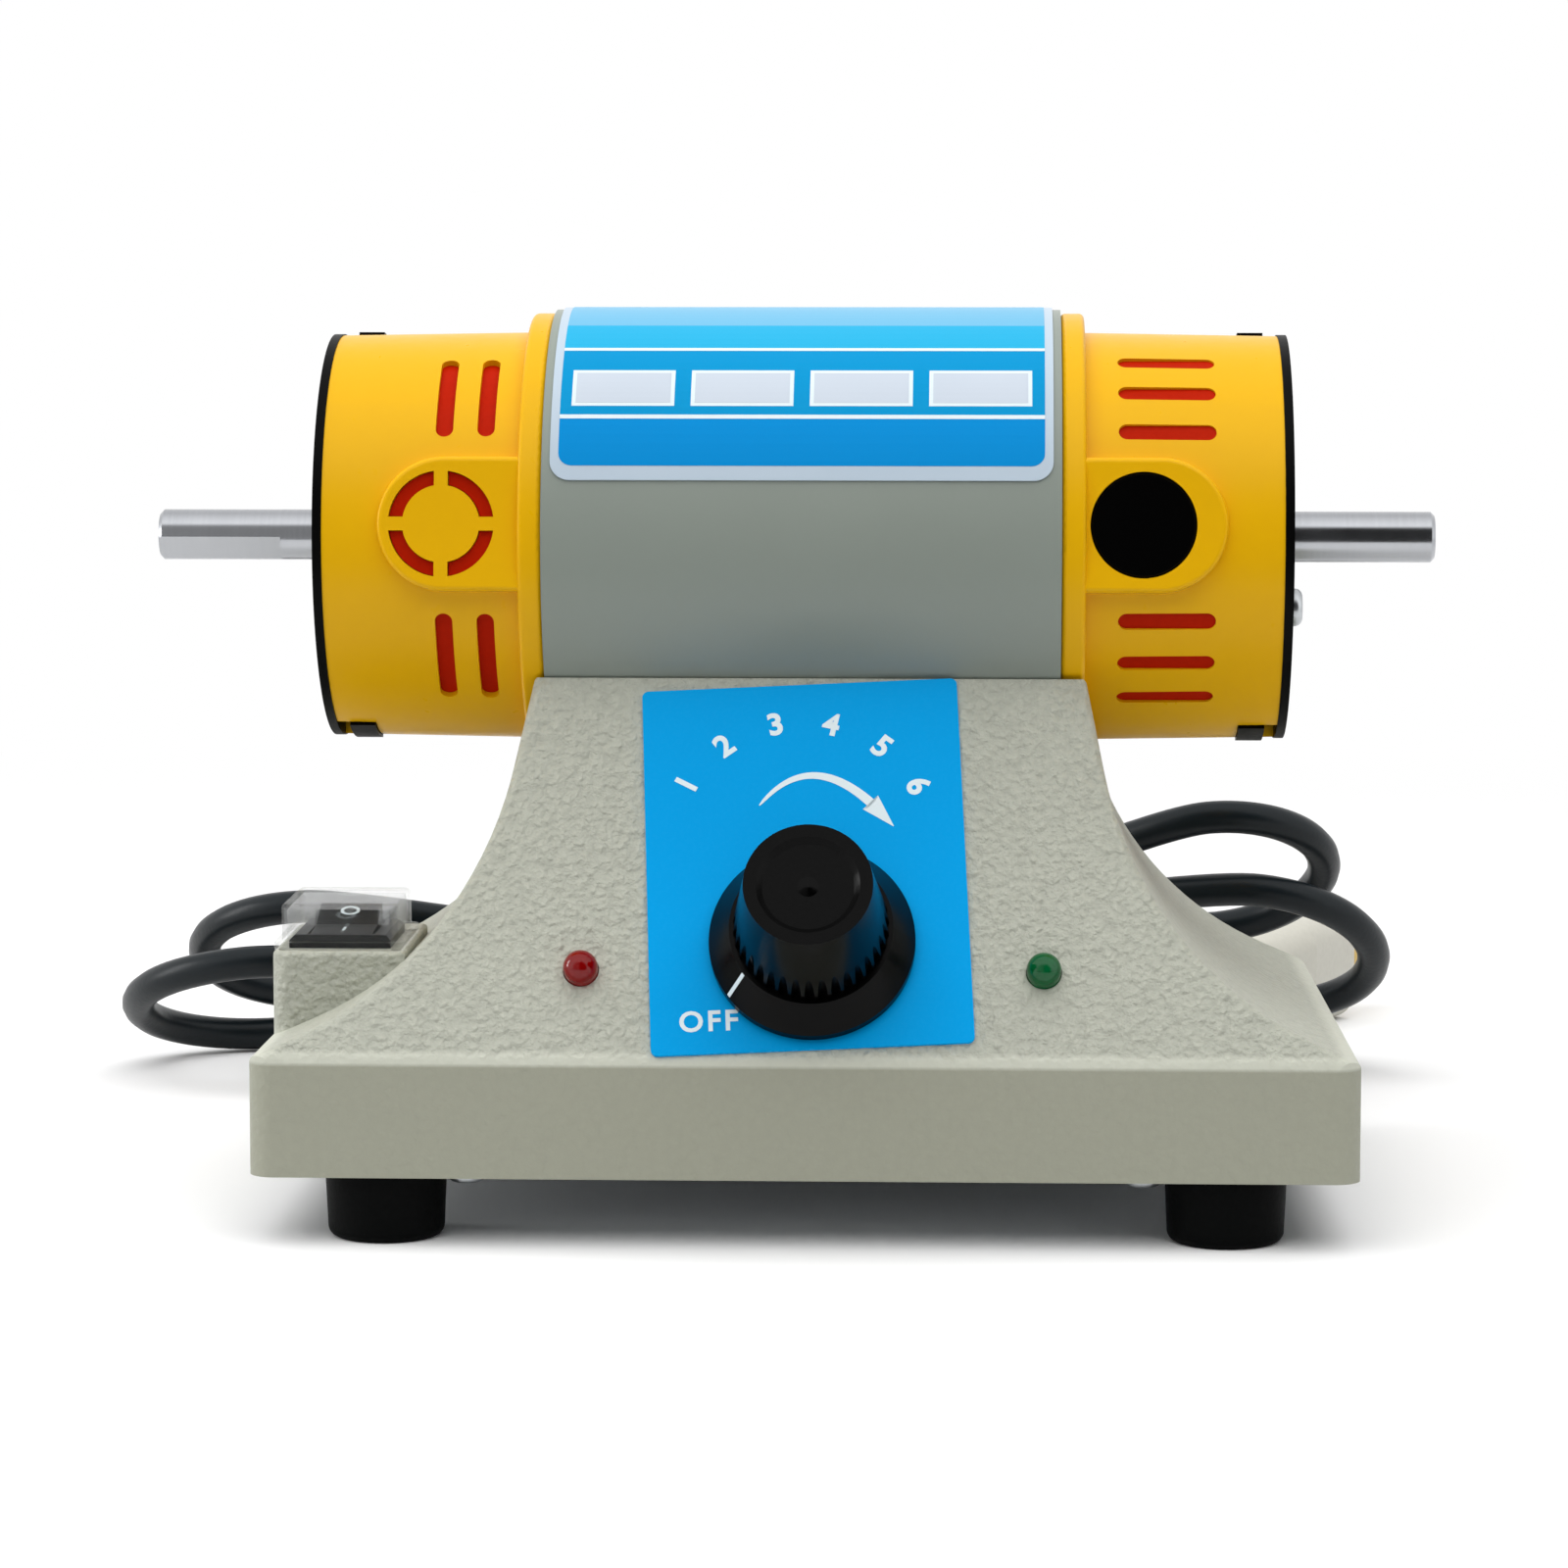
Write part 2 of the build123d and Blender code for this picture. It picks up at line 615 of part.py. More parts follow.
def speed_knob():
    """Skirted knob with a fluted, tapering barrel and a dished top."""
    dish_r = KNOB_TOP_R - KNOB_RIM
    points = [
        (0, 0),
        (KNOB_SKIRT_R, 0),
        (KNOB_SKIRT_R, KNOB_SKIRT_EDGE),
        (KNOB_SHOULDER_R, KNOB_SHOULDER_HEIGHT),
        (KNOB_BARREL_R, KNOB_SHOULDER_HEIGHT),
        (KNOB_TOP_R, KNOB_HEIGHT),
        (dish_r, KNOB_HEIGHT),
        (dish_r - KNOB_DISH, KNOB_HEIGHT - KNOB_DISH),
        (KNOB_NUB_R, KNOB_HEIGHT - KNOB_DISH),
        (0, KNOB_HEIGHT - KNOB_DISH + KNOB_NUB),
    ]
    knob = revolve(Plane.XZ * make_face(Polyline(*points, close=True)), Axis.Z)
    flute = Pos(KNOB_BARREL_R, 0, KNOB_SHOULDER_HEIGHT) * Cylinder(KNOB_FLUTE_R, KNOB_HEIGHT, align=LOW)
    knob -= [Rot(0, 0, i * 360 / KNOB_FLUTES) * flute for i in range(KNOB_FLUTES)]
    knob -= Cylinder(KNOB_HOLLOW_R, KNOB_HOLLOW_DEPTH, align=LOW)
    knob -= Cylinder(POT_SHAFT_R + FIT_GAP / 2, KNOB_HEIGHT - KNOB_HOLLOW_DEPTH, align=LOW)
    return knob_place() * Pos(0, 0, MOVE_GAP) * knob


def potentiometer_body():
    """Round body behind the panel with its bush through it."""
    body = Pos(0, 0, -WALL) * Cylinder(POT_R, POT_DEPTH, align=HIGH)
    length = WALL + CONTROL_THICK + POT_BUSH_LENGTH
    body += Pos(0, 0, -WALL) * Cylinder(POT_BUSH_R, length, align=LOW)
    body -= Pos(0, 0, -WALL) * Cylinder(POT_SHAFT_R + RUN_GAP, 2 * length, align=LOW)
    return PANEL * Pos(0, KNOB_UP, 0) * body


def potentiometer_shaft():
    """Round shaft from the bottom of the bush up into the knob."""
    top = MOVE_GAP + KNOB_HEIGHT - KNOB_HOLLOW_DEPTH - FIT_GAP
    start = CONTROL_THICK + WALL - MOVE_GAP
    return knob_place() * Pos(0, 0, -start) * Cylinder(POT_SHAFT_R, top + start, align=LOW)


def potentiometer_nut():
    """Flat nut that clamps the potentiometer, hidden in the knob's hollow."""
    return knob_place() * hex_nut(POT_NUT_ACROSS, POT_NUT_HEIGHT, POT_BUSH_R + FIT_GAP)


def lamp(side):
    """Domed indicator lamp pushed through the panel from behind."""
    dome = Pos(0, 0, LAMP_STAND) * (Sphere(LAMP_R) & Cylinder(2 * LAMP_R, 2 * LAMP_R, align=LOW))
    body = Pos(0, 0, -WALL - LAMP_BODY) * Cylinder(LAMP_R, WALL + LAMP_BODY + LAMP_STAND, align=LOW)
    flange = Pos(0, 0, -WALL) * Cylinder(LAMP_FLANGE_R, LAMP_FLANGE, align=HIGH)
    return PANEL * Pos(side * LAMP_SPAN / 2, LAMP_UP, 0) * (dome + body + flange)


def switch_place():
    """Frame of the rocker switch: on the box's top, at the rocker's pivot."""
    return Pos(SWITCH_X, SWITCH_Y, BOX_TOP)


def switch_body():
    """Black switch body with a bezel and a pocket for the rocker."""
    bezel = Box(SWITCH_WIDTH, SWITCH_LENGTH, BEZEL_HEIGHT, align=LOW)
    bezel = chamfer(bezel.faces().sort_by(Axis.Z)[-1].edges(), 0.4 * BEZEL_HEIGHT)
    body = bezel + Box(SWITCH_BODY_WIDTH, SWITCH_BODY_LENGTH, SWITCH_BODY_DEPTH, align=HIGH)
    depth = ROCKER_POCKET_DEPTH + BEZEL_HEIGHT
    pocket = Box(ROCKER_WIDTH + 2 * MOVE_GAP, ROCKER_POCKET_LENGTH, depth, align=HIGH)
    body -= Pos(0, 0, BEZEL_HEIGHT) * pocket
    bore = Rot(0, 90, 0) * Cylinder(ROCKER_PIN_R + RUN_GAP, SWITCH_BODY_WIDTH - 2 * FIT_GAP)
    return switch_place() * (body - bore)


def switch_rocker():
    """Dished rocker resting with its far end up, on a pin along x."""
    half = ROCKER_LENGTH / 2
    foot = 0.85 * half
    top = [(-half, ROCKER_RISE), (0, ROCKER_DIP), (half, ROCKER_RISE)]
    keel = [(foot, -ROCKER_KEEL), (-foot, -ROCKER_KEEL)]
    side = Plane.YZ * make_face(Polyline(*top, *keel, close=True))
    rocker = extrude(side, ROCKER_WIDTH / 2, both=True)
    pin = Rot(0, 90, 0) * Cylinder(ROCKER_PIN_R, SWITCH_BODY_WIDTH - 4 * FIT_GAP)
    return switch_place() * Rot(ROCKER_TILT, 0, 0) * (rocker + pin)


def switch_terminals():
    """Flat blades under the switch body."""
    blade = Box(TERMINAL_WIDTH, TERMINAL_THICK, TERMINAL_LENGTH, align=HIGH)
    place = switch_place() * Pos(0, 0, -SWITCH_BODY_DEPTH)
    return [place * Pos(0, i * TERMINAL_PITCH, 0) * blade for i in (-1, 1)]


def switch_cover():
    """Clear splash cover over the rocker, standing on a thin flange."""
    width = SWITCH_WIDTH + 2 * COVER_CLEAR
    length = SWITCH_LENGTH + 2 * COVER_CLEAR
    plan = RectangleRounded(width + 2 * COVER_WALL, length + 2 * COVER_WALL, COVER_CORNER)
    outer = extrude(plan, COVER_HEIGHT)
    outer = fillet(outer.faces().sort_by(Axis.Z)[-1].edges(), 0.8 * COVER_WALL)
    flange = extrude(RectangleRounded(COVER_FLANGE_WIDTH, COVER_FLANGE_LENGTH, COVER_CORNER), COVER_FLANGE)
    inner = Box(width, length, COVER_HEIGHT - COVER_WALL, align=LOW)
    return switch_place() * (outer + flange - inner)


def motor_tube():
    """Steel tube of the motor, held down in the cradle."""
    tube = ring_x(MOTOR_X - TUBE_HALF, MOTOR_X + TUBE_HALF, TUBE_R, TUBE_R - TUBE_WALL)
    for x, y in cradle_screw_spots():
        tube -= Pos(x, y, AXIS_Z) * Cylinder(CRADLE_SCREW_R + FIT_GAP, 2 * TUBE_R, align=HIGH)
    return tube


def motor_label():
    """Thin label plate wrapped over the front and top of the tube."""
    r0 = TUBE_R + FIT_GAP / 2
    x0 = MOTOR_X - LABEL_LENGTH / 2
    sheet = radial_strip(x0, x0 + LABEL_LENGTH, r0, r0 + LABEL_THICK, LABEL_FROM_ANGLE, LABEL_TO_ANGLE)
    corners = sheet.edges().filter_by(GeomType.LINE).filter_by(lambda e: e.length < 2 * LABEL_THICK)
    return fillet(corners, LABEL_CORNER)


def cradle_screw():
    """Screw up through the cradle's floor into the tube."""
    length = WALL + FIT_GAP + TUBE_WALL
    return Rot(180, 0, 0) * screw(CRADLE_SCREW_R, length, CRADLE_HEAD_R, CRADLE_HEAD_HEIGHT)


def cap_shell(side):
    """Turned form of an end cap: spigot, flange, tapered wall, web and bearing hub."""
    inner = CAP_R - CAP_WALL
    web_end = WEB_AT + WEB_THICK
    hub_end = web_end + BEARING_WIDTH + FIT_GAP
    seat = BEARING_R + FIT_GAP / 2
    spigot = TUBE_R - TUBE_WALL - FIT_GAP
    points = [
        (-SPIGOT_LENGTH, inner),
        (-SPIGOT_LENGTH, spigot),
        (0, spigot),
        (0, FLANGE_R),
        (FLANGE_WIDTH, FLANGE_R),
        (FLANGE_WIDTH, CAP_R),
        (CAP_LENGTH, CAP_END_R),
        (CAP_LENGTH, CAP_END_R - CAP_WALL),
        (web_end, CAP_END_R - CAP_WALL),
        (web_end, seat + HUB_WALL),
        (hub_end, seat + HUB_WALL),
        (hub_end, seat),
        (web_end, seat),
        (web_end, WEB_HOLE_R),
        (WEB_AT, WEB_HOLE_R),
        (WEB_AT, inner),
    ]
    section = make_face(Polyline(*[(cap_x(side, t), r) for t, r in points], close=True))
    section = fillet(section.vertices().group_by(Axis.Y)[-1], FLANGE_ROUND)
    upright = Plane(origin=(0, AXIS_Y, AXIS_Z), x_dir=(1, 0, 0), z_dir=(0, -1, 0))
    return revolve(upright * section, axis=MOTOR_AXIS)


def cap_pad(side, angle):
    """Raised flat pad on a cap, round towards the outer end and straight to the flange."""
    reach = abs(cap_x(side, PAD_AT) - cap_x(side, FLANGE_WIDTH / 2))
    inward = -1 if side == "right" else 1
    plan = Circle(PAD_R) + Pos(inward * reach / 2, 0) * Rectangle(reach, 2 * PAD_R)
    pad = extrude(plan, PAD_FACE)
    pad = fillet(pad.faces().sort_by(Axis.Z)[-1].edges(), PAD_ROUND)
    return spoke(cap_x(side, PAD_AT), angle) * pad


def side_slots(side, angle):
    """Slots that run round the left cap, two abreast, above and below the pad."""
    above = (SIDE_SLOT_FROM_ANGLE, SIDE_SLOT_TO_ANGLE)
    below = (-SIDE_SLOT_TO_ANGLE, -SIDE_SLOT_FROM_ANGLE)
    cuts = []
    for i in range(2):
        middle = SIDE_SLOT_AT + i * SIDE_SLOT_PITCH
        x0, x1 = between(side, middle - SLOT_WIDTH / 2, middle + SLOT_WIDTH / 2)
        for low, high in (above, below):
            cuts.append(radial_strip(x0, x1, CAP_R / 2, 2 * CAP_R, angle + low, angle + high))
            for end in (low, high):
                hole = Cylinder(SLOT_WIDTH / 2, 2 * CAP_R, align=LOW)
                cuts.append(spoke((x0 + x1) / 2, angle + end) * hole)
    return cuts


def long_slots(side, angle):
    """Slots along the right cap, three above and three below the pad."""
    slot = extrude(SlotOverall(LONG_SLOT_LENGTH, SLOT_WIDTH), 2 * CAP_R)
    cuts = []
    for i in range(LONG_SLOTS):
        for sign in (-1, 1):
            turn = angle + sign * (LONG_SLOT_FIRST_ANGLE + i * LONG_SLOT_PITCH_ANGLE)
            cuts.append(spoke(cap_x(side, LONG_SLOT_AT), turn) * slot)
    return cuts


def vent_ring(side, angle):
    """Four curved slots in a ring through the left cap's pad."""
    ring = Circle(RING_OUTER_R) - Circle(RING_INNER_R)
    ring -= Rectangle(RING_BRIDGE, 3 * RING_OUTER_R)
    ring -= Rectangle(3 * RING_OUTER_R, RING_BRIDGE)
    return spoke(cap_x(side, RING_AT), angle) * extrude(ring, 2 * CAP_R)


def brush_port(side, angle):
    """Recess and bore in the right cap's pad for a brush cap and its holder."""
    recess = Pos(0, 0, PAD_FACE - BRUSH_CAP_THICK) * Cylinder(BRUSH_CAP_R + FIT_GAP, CAP_R, align=LOW)
    return spoke(cap_x(side, BRUSH_AT), angle) * (recess + Cylinder(HOLDER_R + FIT_GAP, 2 * CAP_R, align=LOW))


def insulating_sleeve(side):
    """Fibre sleeve against the inside of a cap, behind its vents, up to the web."""
    outer = CAP_R - CAP_WALL - FIT_GAP / 2
    sleeve = ring_x(*between(side, 0, WEB_AT - FIT_GAP), outer, outer - LINING_THICK)
    if side == "right":
        for angle in (PAD_ANGLE, PAD_ANGLE + 180):
            sleeve -= spoke(cap_x(side, BRUSH_AT), angle) * Cylinder(HOLDER_R + FIT_GAP, 2 * CAP_R, align=LOW)
    return sleeve


def end_screw_places(side):
    """Frames of the end plate's screws, z outwards along the spindle line."""
    out, first = (1, RIGHT_SCREW_ANGLE) if side == "right" else (-1, LEFT_SCREW_ANGLE)
    places = []
    for turn in (0, 180):
        a = math.radians(first + turn)
        y = AXIS_Y - END_SCREW_CIRCLE * math.cos(a)
        z = AXIS_Z + END_SCREW_CIRCLE * math.sin(a)
        x = cap_x(side, CAP_LENGTH + END_PLATE_THICK)
        places.append(Plane(origin=(x, y, z), x_dir=(0, 1, 0), z_dir=(out, 0, 0)).location)
    return places


def tie_bolt_spots():
    """Cross positions of the two long bolts that pull the caps on to the tube."""
    spots = []
    for turn in (0, 180):
        a = math.radians(TIE_BOLT_ANGLE + turn)
        spots.append((AXIS_Y - TIE_BOLT_CIRCLE * math.cos(a), AXIS_Z + TIE_BOLT_CIRCLE * math.sin(a)))
    return spots


def clip_strips(side, t0, t1, r0, r1, grow):
    """Curved strips of a clip's width on a cap's rim, near the top and opposite."""
    half = math.degrees((CLIP_WIDTH / 2 + grow) / CAP_R)
    x0, x1 = between(side, t0, t1)
    return [radial_strip(x0, x1, r0, r1, a - half, a + half) for a in (CLIP_ANGLE, CLIP_ANGLE + 180)]


def end_clips(side):
    """The end plate's two clips: arms inside the cap's wall, hooked out through its notches."""
    top = CAP_END_R - CAP_WALL - FIT_GAP
    start = CAP_LENGTH - CLIP_LENGTH
    arms = clip_strips(side, start, CAP_LENGTH + END_PLATE_THICK, top - CLIP_THICK, top, 0)
    hooks = clip_strips(side, start, start + HOOK_LENGTH, top - CLIP_THICK, CAP_R + HOOK_STAND, 0)
    return arms + hooks


def clip_notches(side):
    """Notches in a cap's rim for the clips."""
    start = CAP_LENGTH - CLIP_LENGTH - FIT_GAP
    return clip_strips(side, start, CAP_LENGTH, CAP_END_R - 2 * CAP_WALL, 2 * CAP_R, FIT_GAP)


def end_cap(side):
    """Yellow end cap with pads front and back and its own pattern of vents."""
    cap = cap_shell(side)
    hollow = along_x(*between(side, 0, WEB_AT), CAP_R - CAP_WALL)
    end_hollow = along_x(*between(side, WEB_AT, CAP_LENGTH), CAP_END_R - CAP_WALL / 2)
    for angle in (PAD_ANGLE, PAD_ANGLE + 180):
        cap += cap_pad(side, angle) - hollow - end_hollow
        if side == "left":
            cap -= side_slots(side, angle) + [vent_ring(side, angle)]
        else:
            cap -= long_slots(side, angle) + [brush_port(side, angle)]
    depth = CAP_LENGTH + END_PLATE_THICK - WEB_AT - WEB_THICK / 2
    for place in end_screw_places(side):
        post = Pos(0, 0, -END_PLATE_THICK) * Cylinder(END_POST_R, depth - END_PLATE_THICK, align=HIGH)
        cap = cap + place * post - place * Cylinder(END_SCREW_R + FIT_GAP, END_SCREW_LENGTH, align=HIGH)
    for y, z in tie_bolt_spots():
        x0, x1 = between(side, 0, CAP_LENGTH)
        cap -= Pos(x0, y, z) * Rot(0, 90, 0) * Cylinder(TIE_BOLT_R + FIT_GAP, x1 - x0, align=LOW)
    return cap - clip_notches(side)


def end_plate(side):
    """Black disc over a cap's open end, with its two clips."""
    plate = ring_x(*between(side, CAP_LENGTH, CAP_LENGTH + END_PLATE_THICK), END_PLATE_R, END_PLATE_HOLE_R)
    for clip in end_clips(side):
        plate += clip
    for place in end_screw_places(side):
        plate -= place * Cylinder(END_SCREW_R + FIT_GAP, 4 * END_PLATE_THICK)
    return plate


def end_plate_screws():
    """Round-headed screws of both end plates."""
    pin = screw(END_SCREW_R, END_SCREW_LENGTH, SCREW_HEAD_R, SCREW_HEAD_HEIGHT)
    return [place * pin for side in ("left", "right") for place in end_screw_places(side)]


def tie_bolts():
    """Two long bolts, headed at both ends, through the webs of the caps."""
    x0 = cap_x("left", WEB_AT + WEB_THICK)
    x1 = cap_x("right", WEB_AT + WEB_THICK)
    bolts = []
    for y, z in tie_bolt_spots():
        bolt = Cylinder(TIE_BOLT_R, x1 - x0, align=LOW)
        bolt += Cylinder(TIE_BOLT_HEAD_R, TIE_BOLT_HEAD, align=HIGH)
        bolt += Pos(0, 0, x1 - x0) * Cylinder(TIE_BOLT_HEAD_R, TIE_BOLT_HEAD, align=LOW)
        bolts.append(Pos(x0, y, z) * Rot(0, 90, 0) * bolt)
    return bolts


def bearing_outer(side):
    """Outer ring of a ball bearing, seated in the cap's hub."""
    seat = WEB_AT + WEB_THICK
    return ring_x(*between(side, seat, seat + BEARING_WIDTH), BEARING_R, BEARING_SPLIT_R + RUN_GAP)


def bearing_inner(side):
    """Inner ring of a ball bearing, on the spindle."""
    seat = WEB_AT + WEB_THICK
    return ring_x(*between(side, seat, seat + BEARING_WIDTH), BEARING_SPLIT_R, SPINDLE_R + FIT_GAP / 4)


def spindle():
    """Through spindle: thick between the bearings, plain ends, an eased tip with a flat on the left."""
    half = SPINDLE_LENGTH / 2
    bar = along_x(FLAT_LENGTH - half, half, SPINDLE_R)
    bar += along_x(-half, FLAT_LENGTH - half, SPINDLE_R - TIP_EASE)
    rims = bar.edges().filter_by(GeomType.CIRCLE).sort_by(Axis.X)
    bar = chamfer([rims[0], rims[-1]], SPINDLE_CHAMFER)
    seat = WEB_AT + WEB_THICK
    bar += along_x(cap_x("left", seat), cap_x("right", seat), SHAFT_R)
    for side in ("left", "right"):
        outside = CAP_LENGTH + END_PLATE_THICK
        bar -= ring_x(*between(side, outside - RELIEF_WIDTH, outside), 2 * SPINDLE_R, RELIEF_R)
    cut = Box(FLAT_LENGTH, 2 * SPINDLE_R, SPINDLE_R, align=(Align.MIN, Align.CENTER, Align.MIN))
    return bar - spoke(-half, FLAT_ANGLE) * Pos(0, 0, SPINDLE_R - FLAT_DEPTH) * cut


def on_section(sketch, x0, x1):
    """Cross section about the spindle line drawn out between two x positions."""
    plane = Plane(origin=(x0, AXIS_Y, AXIS_Z), x_dir=(0, 1, 0), z_dir=(1, 0, 0))
    return extrude(plane * sketch, x1 - x0)


def armature_core():
    """Slotted core of the armature."""
    slot = Pos(CORE_R, 0) * Rectangle(2 * CORE_SLOT_DEPTH, CORE_SLOT_WIDTH)
    disc = Circle(CORE_R) - Circle(SHAFT_R + FIT_GAP / 4)
    disc -= [Rot(0, 0, i * 360 / CORE_SLOTS) * slot for i in range(CORE_SLOTS)]
    return on_section(disc, MOTOR_X - CORE_LENGTH / 2, MOTOR_X + CORE_LENGTH / 2)


def armature_winding():
    """The winding's two end turns, rounded rings against the core."""
    rings = []
    for side in (-1, 1):
        x0 = MOTOR_X + side * CORE_LENGTH / 2
        ring = ring_x(*sorted((x0, x0 + side * WINDING_LENGTH)), WINDING_R, SHAFT_R + FIT_GAP)
        outer = ring.edges().filter_by(GeomType.CIRCLE).sort_by(Axis.X)
        far = [e for e in (outer[:2] if side < 0 else outer[-2:]) if e.radius > SHAFT_R + 1]
        rings.append(fillet(far, WINDING_ROUND))
    return rings


def commutator():
    """Copper commutator cut into bars."""
    cut = Pos(COMMUTATOR_R, 0) * Rectangle(3 * COMMUTATOR_CUT, COMMUTATOR_CUT)
    disc = Circle(COMMUTATOR_R) - Circle(SHAFT_R + FIT_GAP / 4)
    disc -= [Rot(0, 0, i * 360 / COMMUTATOR_BARS) * cut for i in range(COMMUTATOR_BARS)]
    middle = cap_x("right", BRUSH_AT)
    return on_section(disc, middle - COMMUTATOR_LENGTH / 2, middle + COMMUTATOR_LENGTH / 2)


def cooling_fan():
    """Radial fan behind the left cap's vents."""
    x0, x1 = between("left", FAN_AT, FAN_AT + FAN_DEPTH)
    disc = Circle(FAN_R) - Circle(SHAFT_R + FIT_GAP / 4)
    hub = Circle(FAN_HUB_R) - Circle(SHAFT_R + FIT_GAP / 4)
    blade = Pos((FAN_HUB_R + FAN_R) / 2 - FAN_BLADE, 0) * Rectangle(FAN_R - FAN_HUB_R, FAN_BLADE)
    fan = on_section(disc, x1 - FAN_DISC, x1) + on_section(hub, x0, x1)
    for i in range(FAN_BLADES):
        fan += on_section(Rot(0, 0, i * 360 / FAN_BLADES) * blade, x0 + FAN_BLADE, x1 - FAN_DISC / 2)
    return fan


def wedge(half):
    """Wide wedge about the x direction of a cross section."""
    far = 2 * TUBE_R
    rise = far * math.tan(math.radians(half))
    return make_face(Polyline((0, 0), (far, -rise), (far, rise), close=True))


def stator_turn():
    """Turn of the poles in the cross section, square to the tie bolts."""
    return 180 - (TIE_BOLT_ANGLE - 90)


def stator_core():
    """Stator ring with two pole pieces round the armature."""
    bore = CORE_R + AIR_GAP
    ring = Circle(STATOR_R) - Circle(STATOR_R - YOKE)
    pole = (Circle(STATOR_R - YOKE / 2) - Circle(bore)) & wedge(POLE_HALF_ANGLE)
    for turn in (0, 180):
        ring += Rot(0, 0, stator_turn() + turn) * pole
    return on_section(ring, MOTOR_X - STATOR_LENGTH / 2, MOTOR_X + STATOR_LENGTH / 2)


def field_coils():
    """Two saddle coils, each round one pole."""
    half = STATOR_LENGTH / 2
    side = (Circle(STATOR_R - YOKE - COIL_GAP) - Circle(CORE_R + 3 * AIR_GAP)) & wedge(COIL_HALF_ANGLE)
    pole = Circle(STATOR_R) & wedge(POLE_HALF_ANGLE + 1)
    coils = []
    for turn in (0, 180):
        place = Rot(0, 0, stator_turn() + turn)
        coil = on_section(place * side, MOTOR_X - half - COIL_END, MOTOR_X + half + COIL_END)
        coils.append(coil - on_section(place * pole, MOTOR_X - half - COIL_GAP, MOTOR_X + half + COIL_GAP))
    return coils


def brush_frame(turn):
    """Frame of one brush, z outwards along it."""
    return spoke(cap_x("right", BRUSH_AT), PAD_ANGLE + turn)


def brush_holders():
    """Round brass holders with a square bore, pressed into the right cap."""
    top = PAD_FACE - BRUSH_CAP_THICK
    holder = Pos(0, 0, HOLDER_FROM) * Cylinder(HOLDER_R, top - HOLDER_FROM, align=LOW)
    holder -= Box(BRUSH_SIZE + 2 * FIT_GAP, BRUSH_SIZE + 2 * FIT_GAP, 3 * PAD_FACE)
    return [brush_frame(turn) * holder for turn in (0, 180)]


def carbon_brushes():
    """Square carbon brushes just off the commutator."""
    start = COMMUTATOR_R + BRUSH_LIFT
    brush = Pos(0, 0, start) * Box(BRUSH_SIZE, BRUSH_SIZE, BRUSH_LENGTH, align=LOW)
    return [brush_frame(turn) * brush for turn in (0, 180)]


def brush_springs():
    """Pressure springs between brush and brush cap, as plain sleeves."""
    start = COMMUTATOR_R + BRUSH_LIFT + BRUSH_LENGTH
    end = PAD_FACE - BRUSH_CAP_THICK - BRUSH_CAP_SHANK
    sleeve = Cylinder(SPRING_R, end - start, align=LOW) - Cylinder(SPRING_R - SPRING_WALL, 3 * PAD_FACE)
    return [brush_frame(turn) * Pos(0, 0, start) * sleeve for turn in (0, 180)]


def brush_cap(turn):
    """Flat black cap that closes a brush holder."""
    floor = PAD_FACE - BRUSH_CAP_THICK
    head = Pos(0, 0, floor) * Cylinder(BRUSH_CAP_R, BRUSH_CAP_THICK, align=LOW)
    head = chamfer(head.faces().sort_by(Axis.Z)[-1].edges(), 0.2 * BRUSH_CAP_THICK)
    shank = Pos(0, 0, floor) * Cylinder(BRUSH_CAP_SHANK_R, BRUSH_CAP_SHANK, align=HIGH)
    return brush_frame(turn) * (head + shank)


def cord_gland():
    """Black strain relief through the back wall, collared and tapering along the lead."""
    wall_gap = FIT_GAP / 2
    points = [
        (0, -GLAND_INSIDE),
        (GLAND_HOLE_R, -GLAND_INSIDE),
        (GLAND_HOLE_R, wall_gap),
        (GLAND_COLLAR_R, wall_gap),
        (GLAND_COLLAR_R, GLAND_COLLAR),
        (GLAND_HOLE_R, GLAND_COLLAR),
        (GLAND_NOSE_R, GLAND_LENGTH),
        (0, GLAND_LENGTH),
    ]
    gland = revolve(Plane.XZ * make_face(Polyline(*points, close=True)), Axis.Z)
    return Pos(GLAND_X, BASE_REAR, GLAND_Z) * Rot(-90, 0, 0) * gland


def hank_frame():
    """Frame of the hank, which leans forward: x along its strands, y down its loops, z through its layers."""
    rise = math.radians(HANK_RISE)
    lean = math.radians(HANK_LEAN)
    x_dir = Vector(math.cos(rise), 0, math.sin(rise))
    z_dir = x_dir.cross(Vector(0, math.cos(lean), -math.sin(lean)))
    return Plane(origin=(HANK_X, HANK_Y, HANK_Z), x_dir=x_dir, z_dir=z_dir)


def strand(number, x):
    """Point of one strand where the tie holds it; even strands run to the right, odd ones back."""
    row = STRAND_ROW if number % 2 else -STRAND_ROW
    return Vector(x, row, (HANK_TURNS - number) * STRAND_STEP)


def biarc(start, start_dir, end, end_dir):
    """Two tangent arcs between two points with given directions."""
    span = end - start
    both = start_dir + end_dir
    square = 2 * (1 - start_dir.dot(end_dir))
    reach = (-span.dot(both) + math.sqrt(span.dot(both) ** 2 + square * span.dot(span))) / square
    first = start + start_dir * reach
    last = end - end_dir * reach
    joint = (first + last) * 0.5
    arcs = [Edge.make_tangent_arc(start, start_dir, joint)]
    arcs.append(Edge.make_tangent_arc(joint, last - first, end))
    return arcs


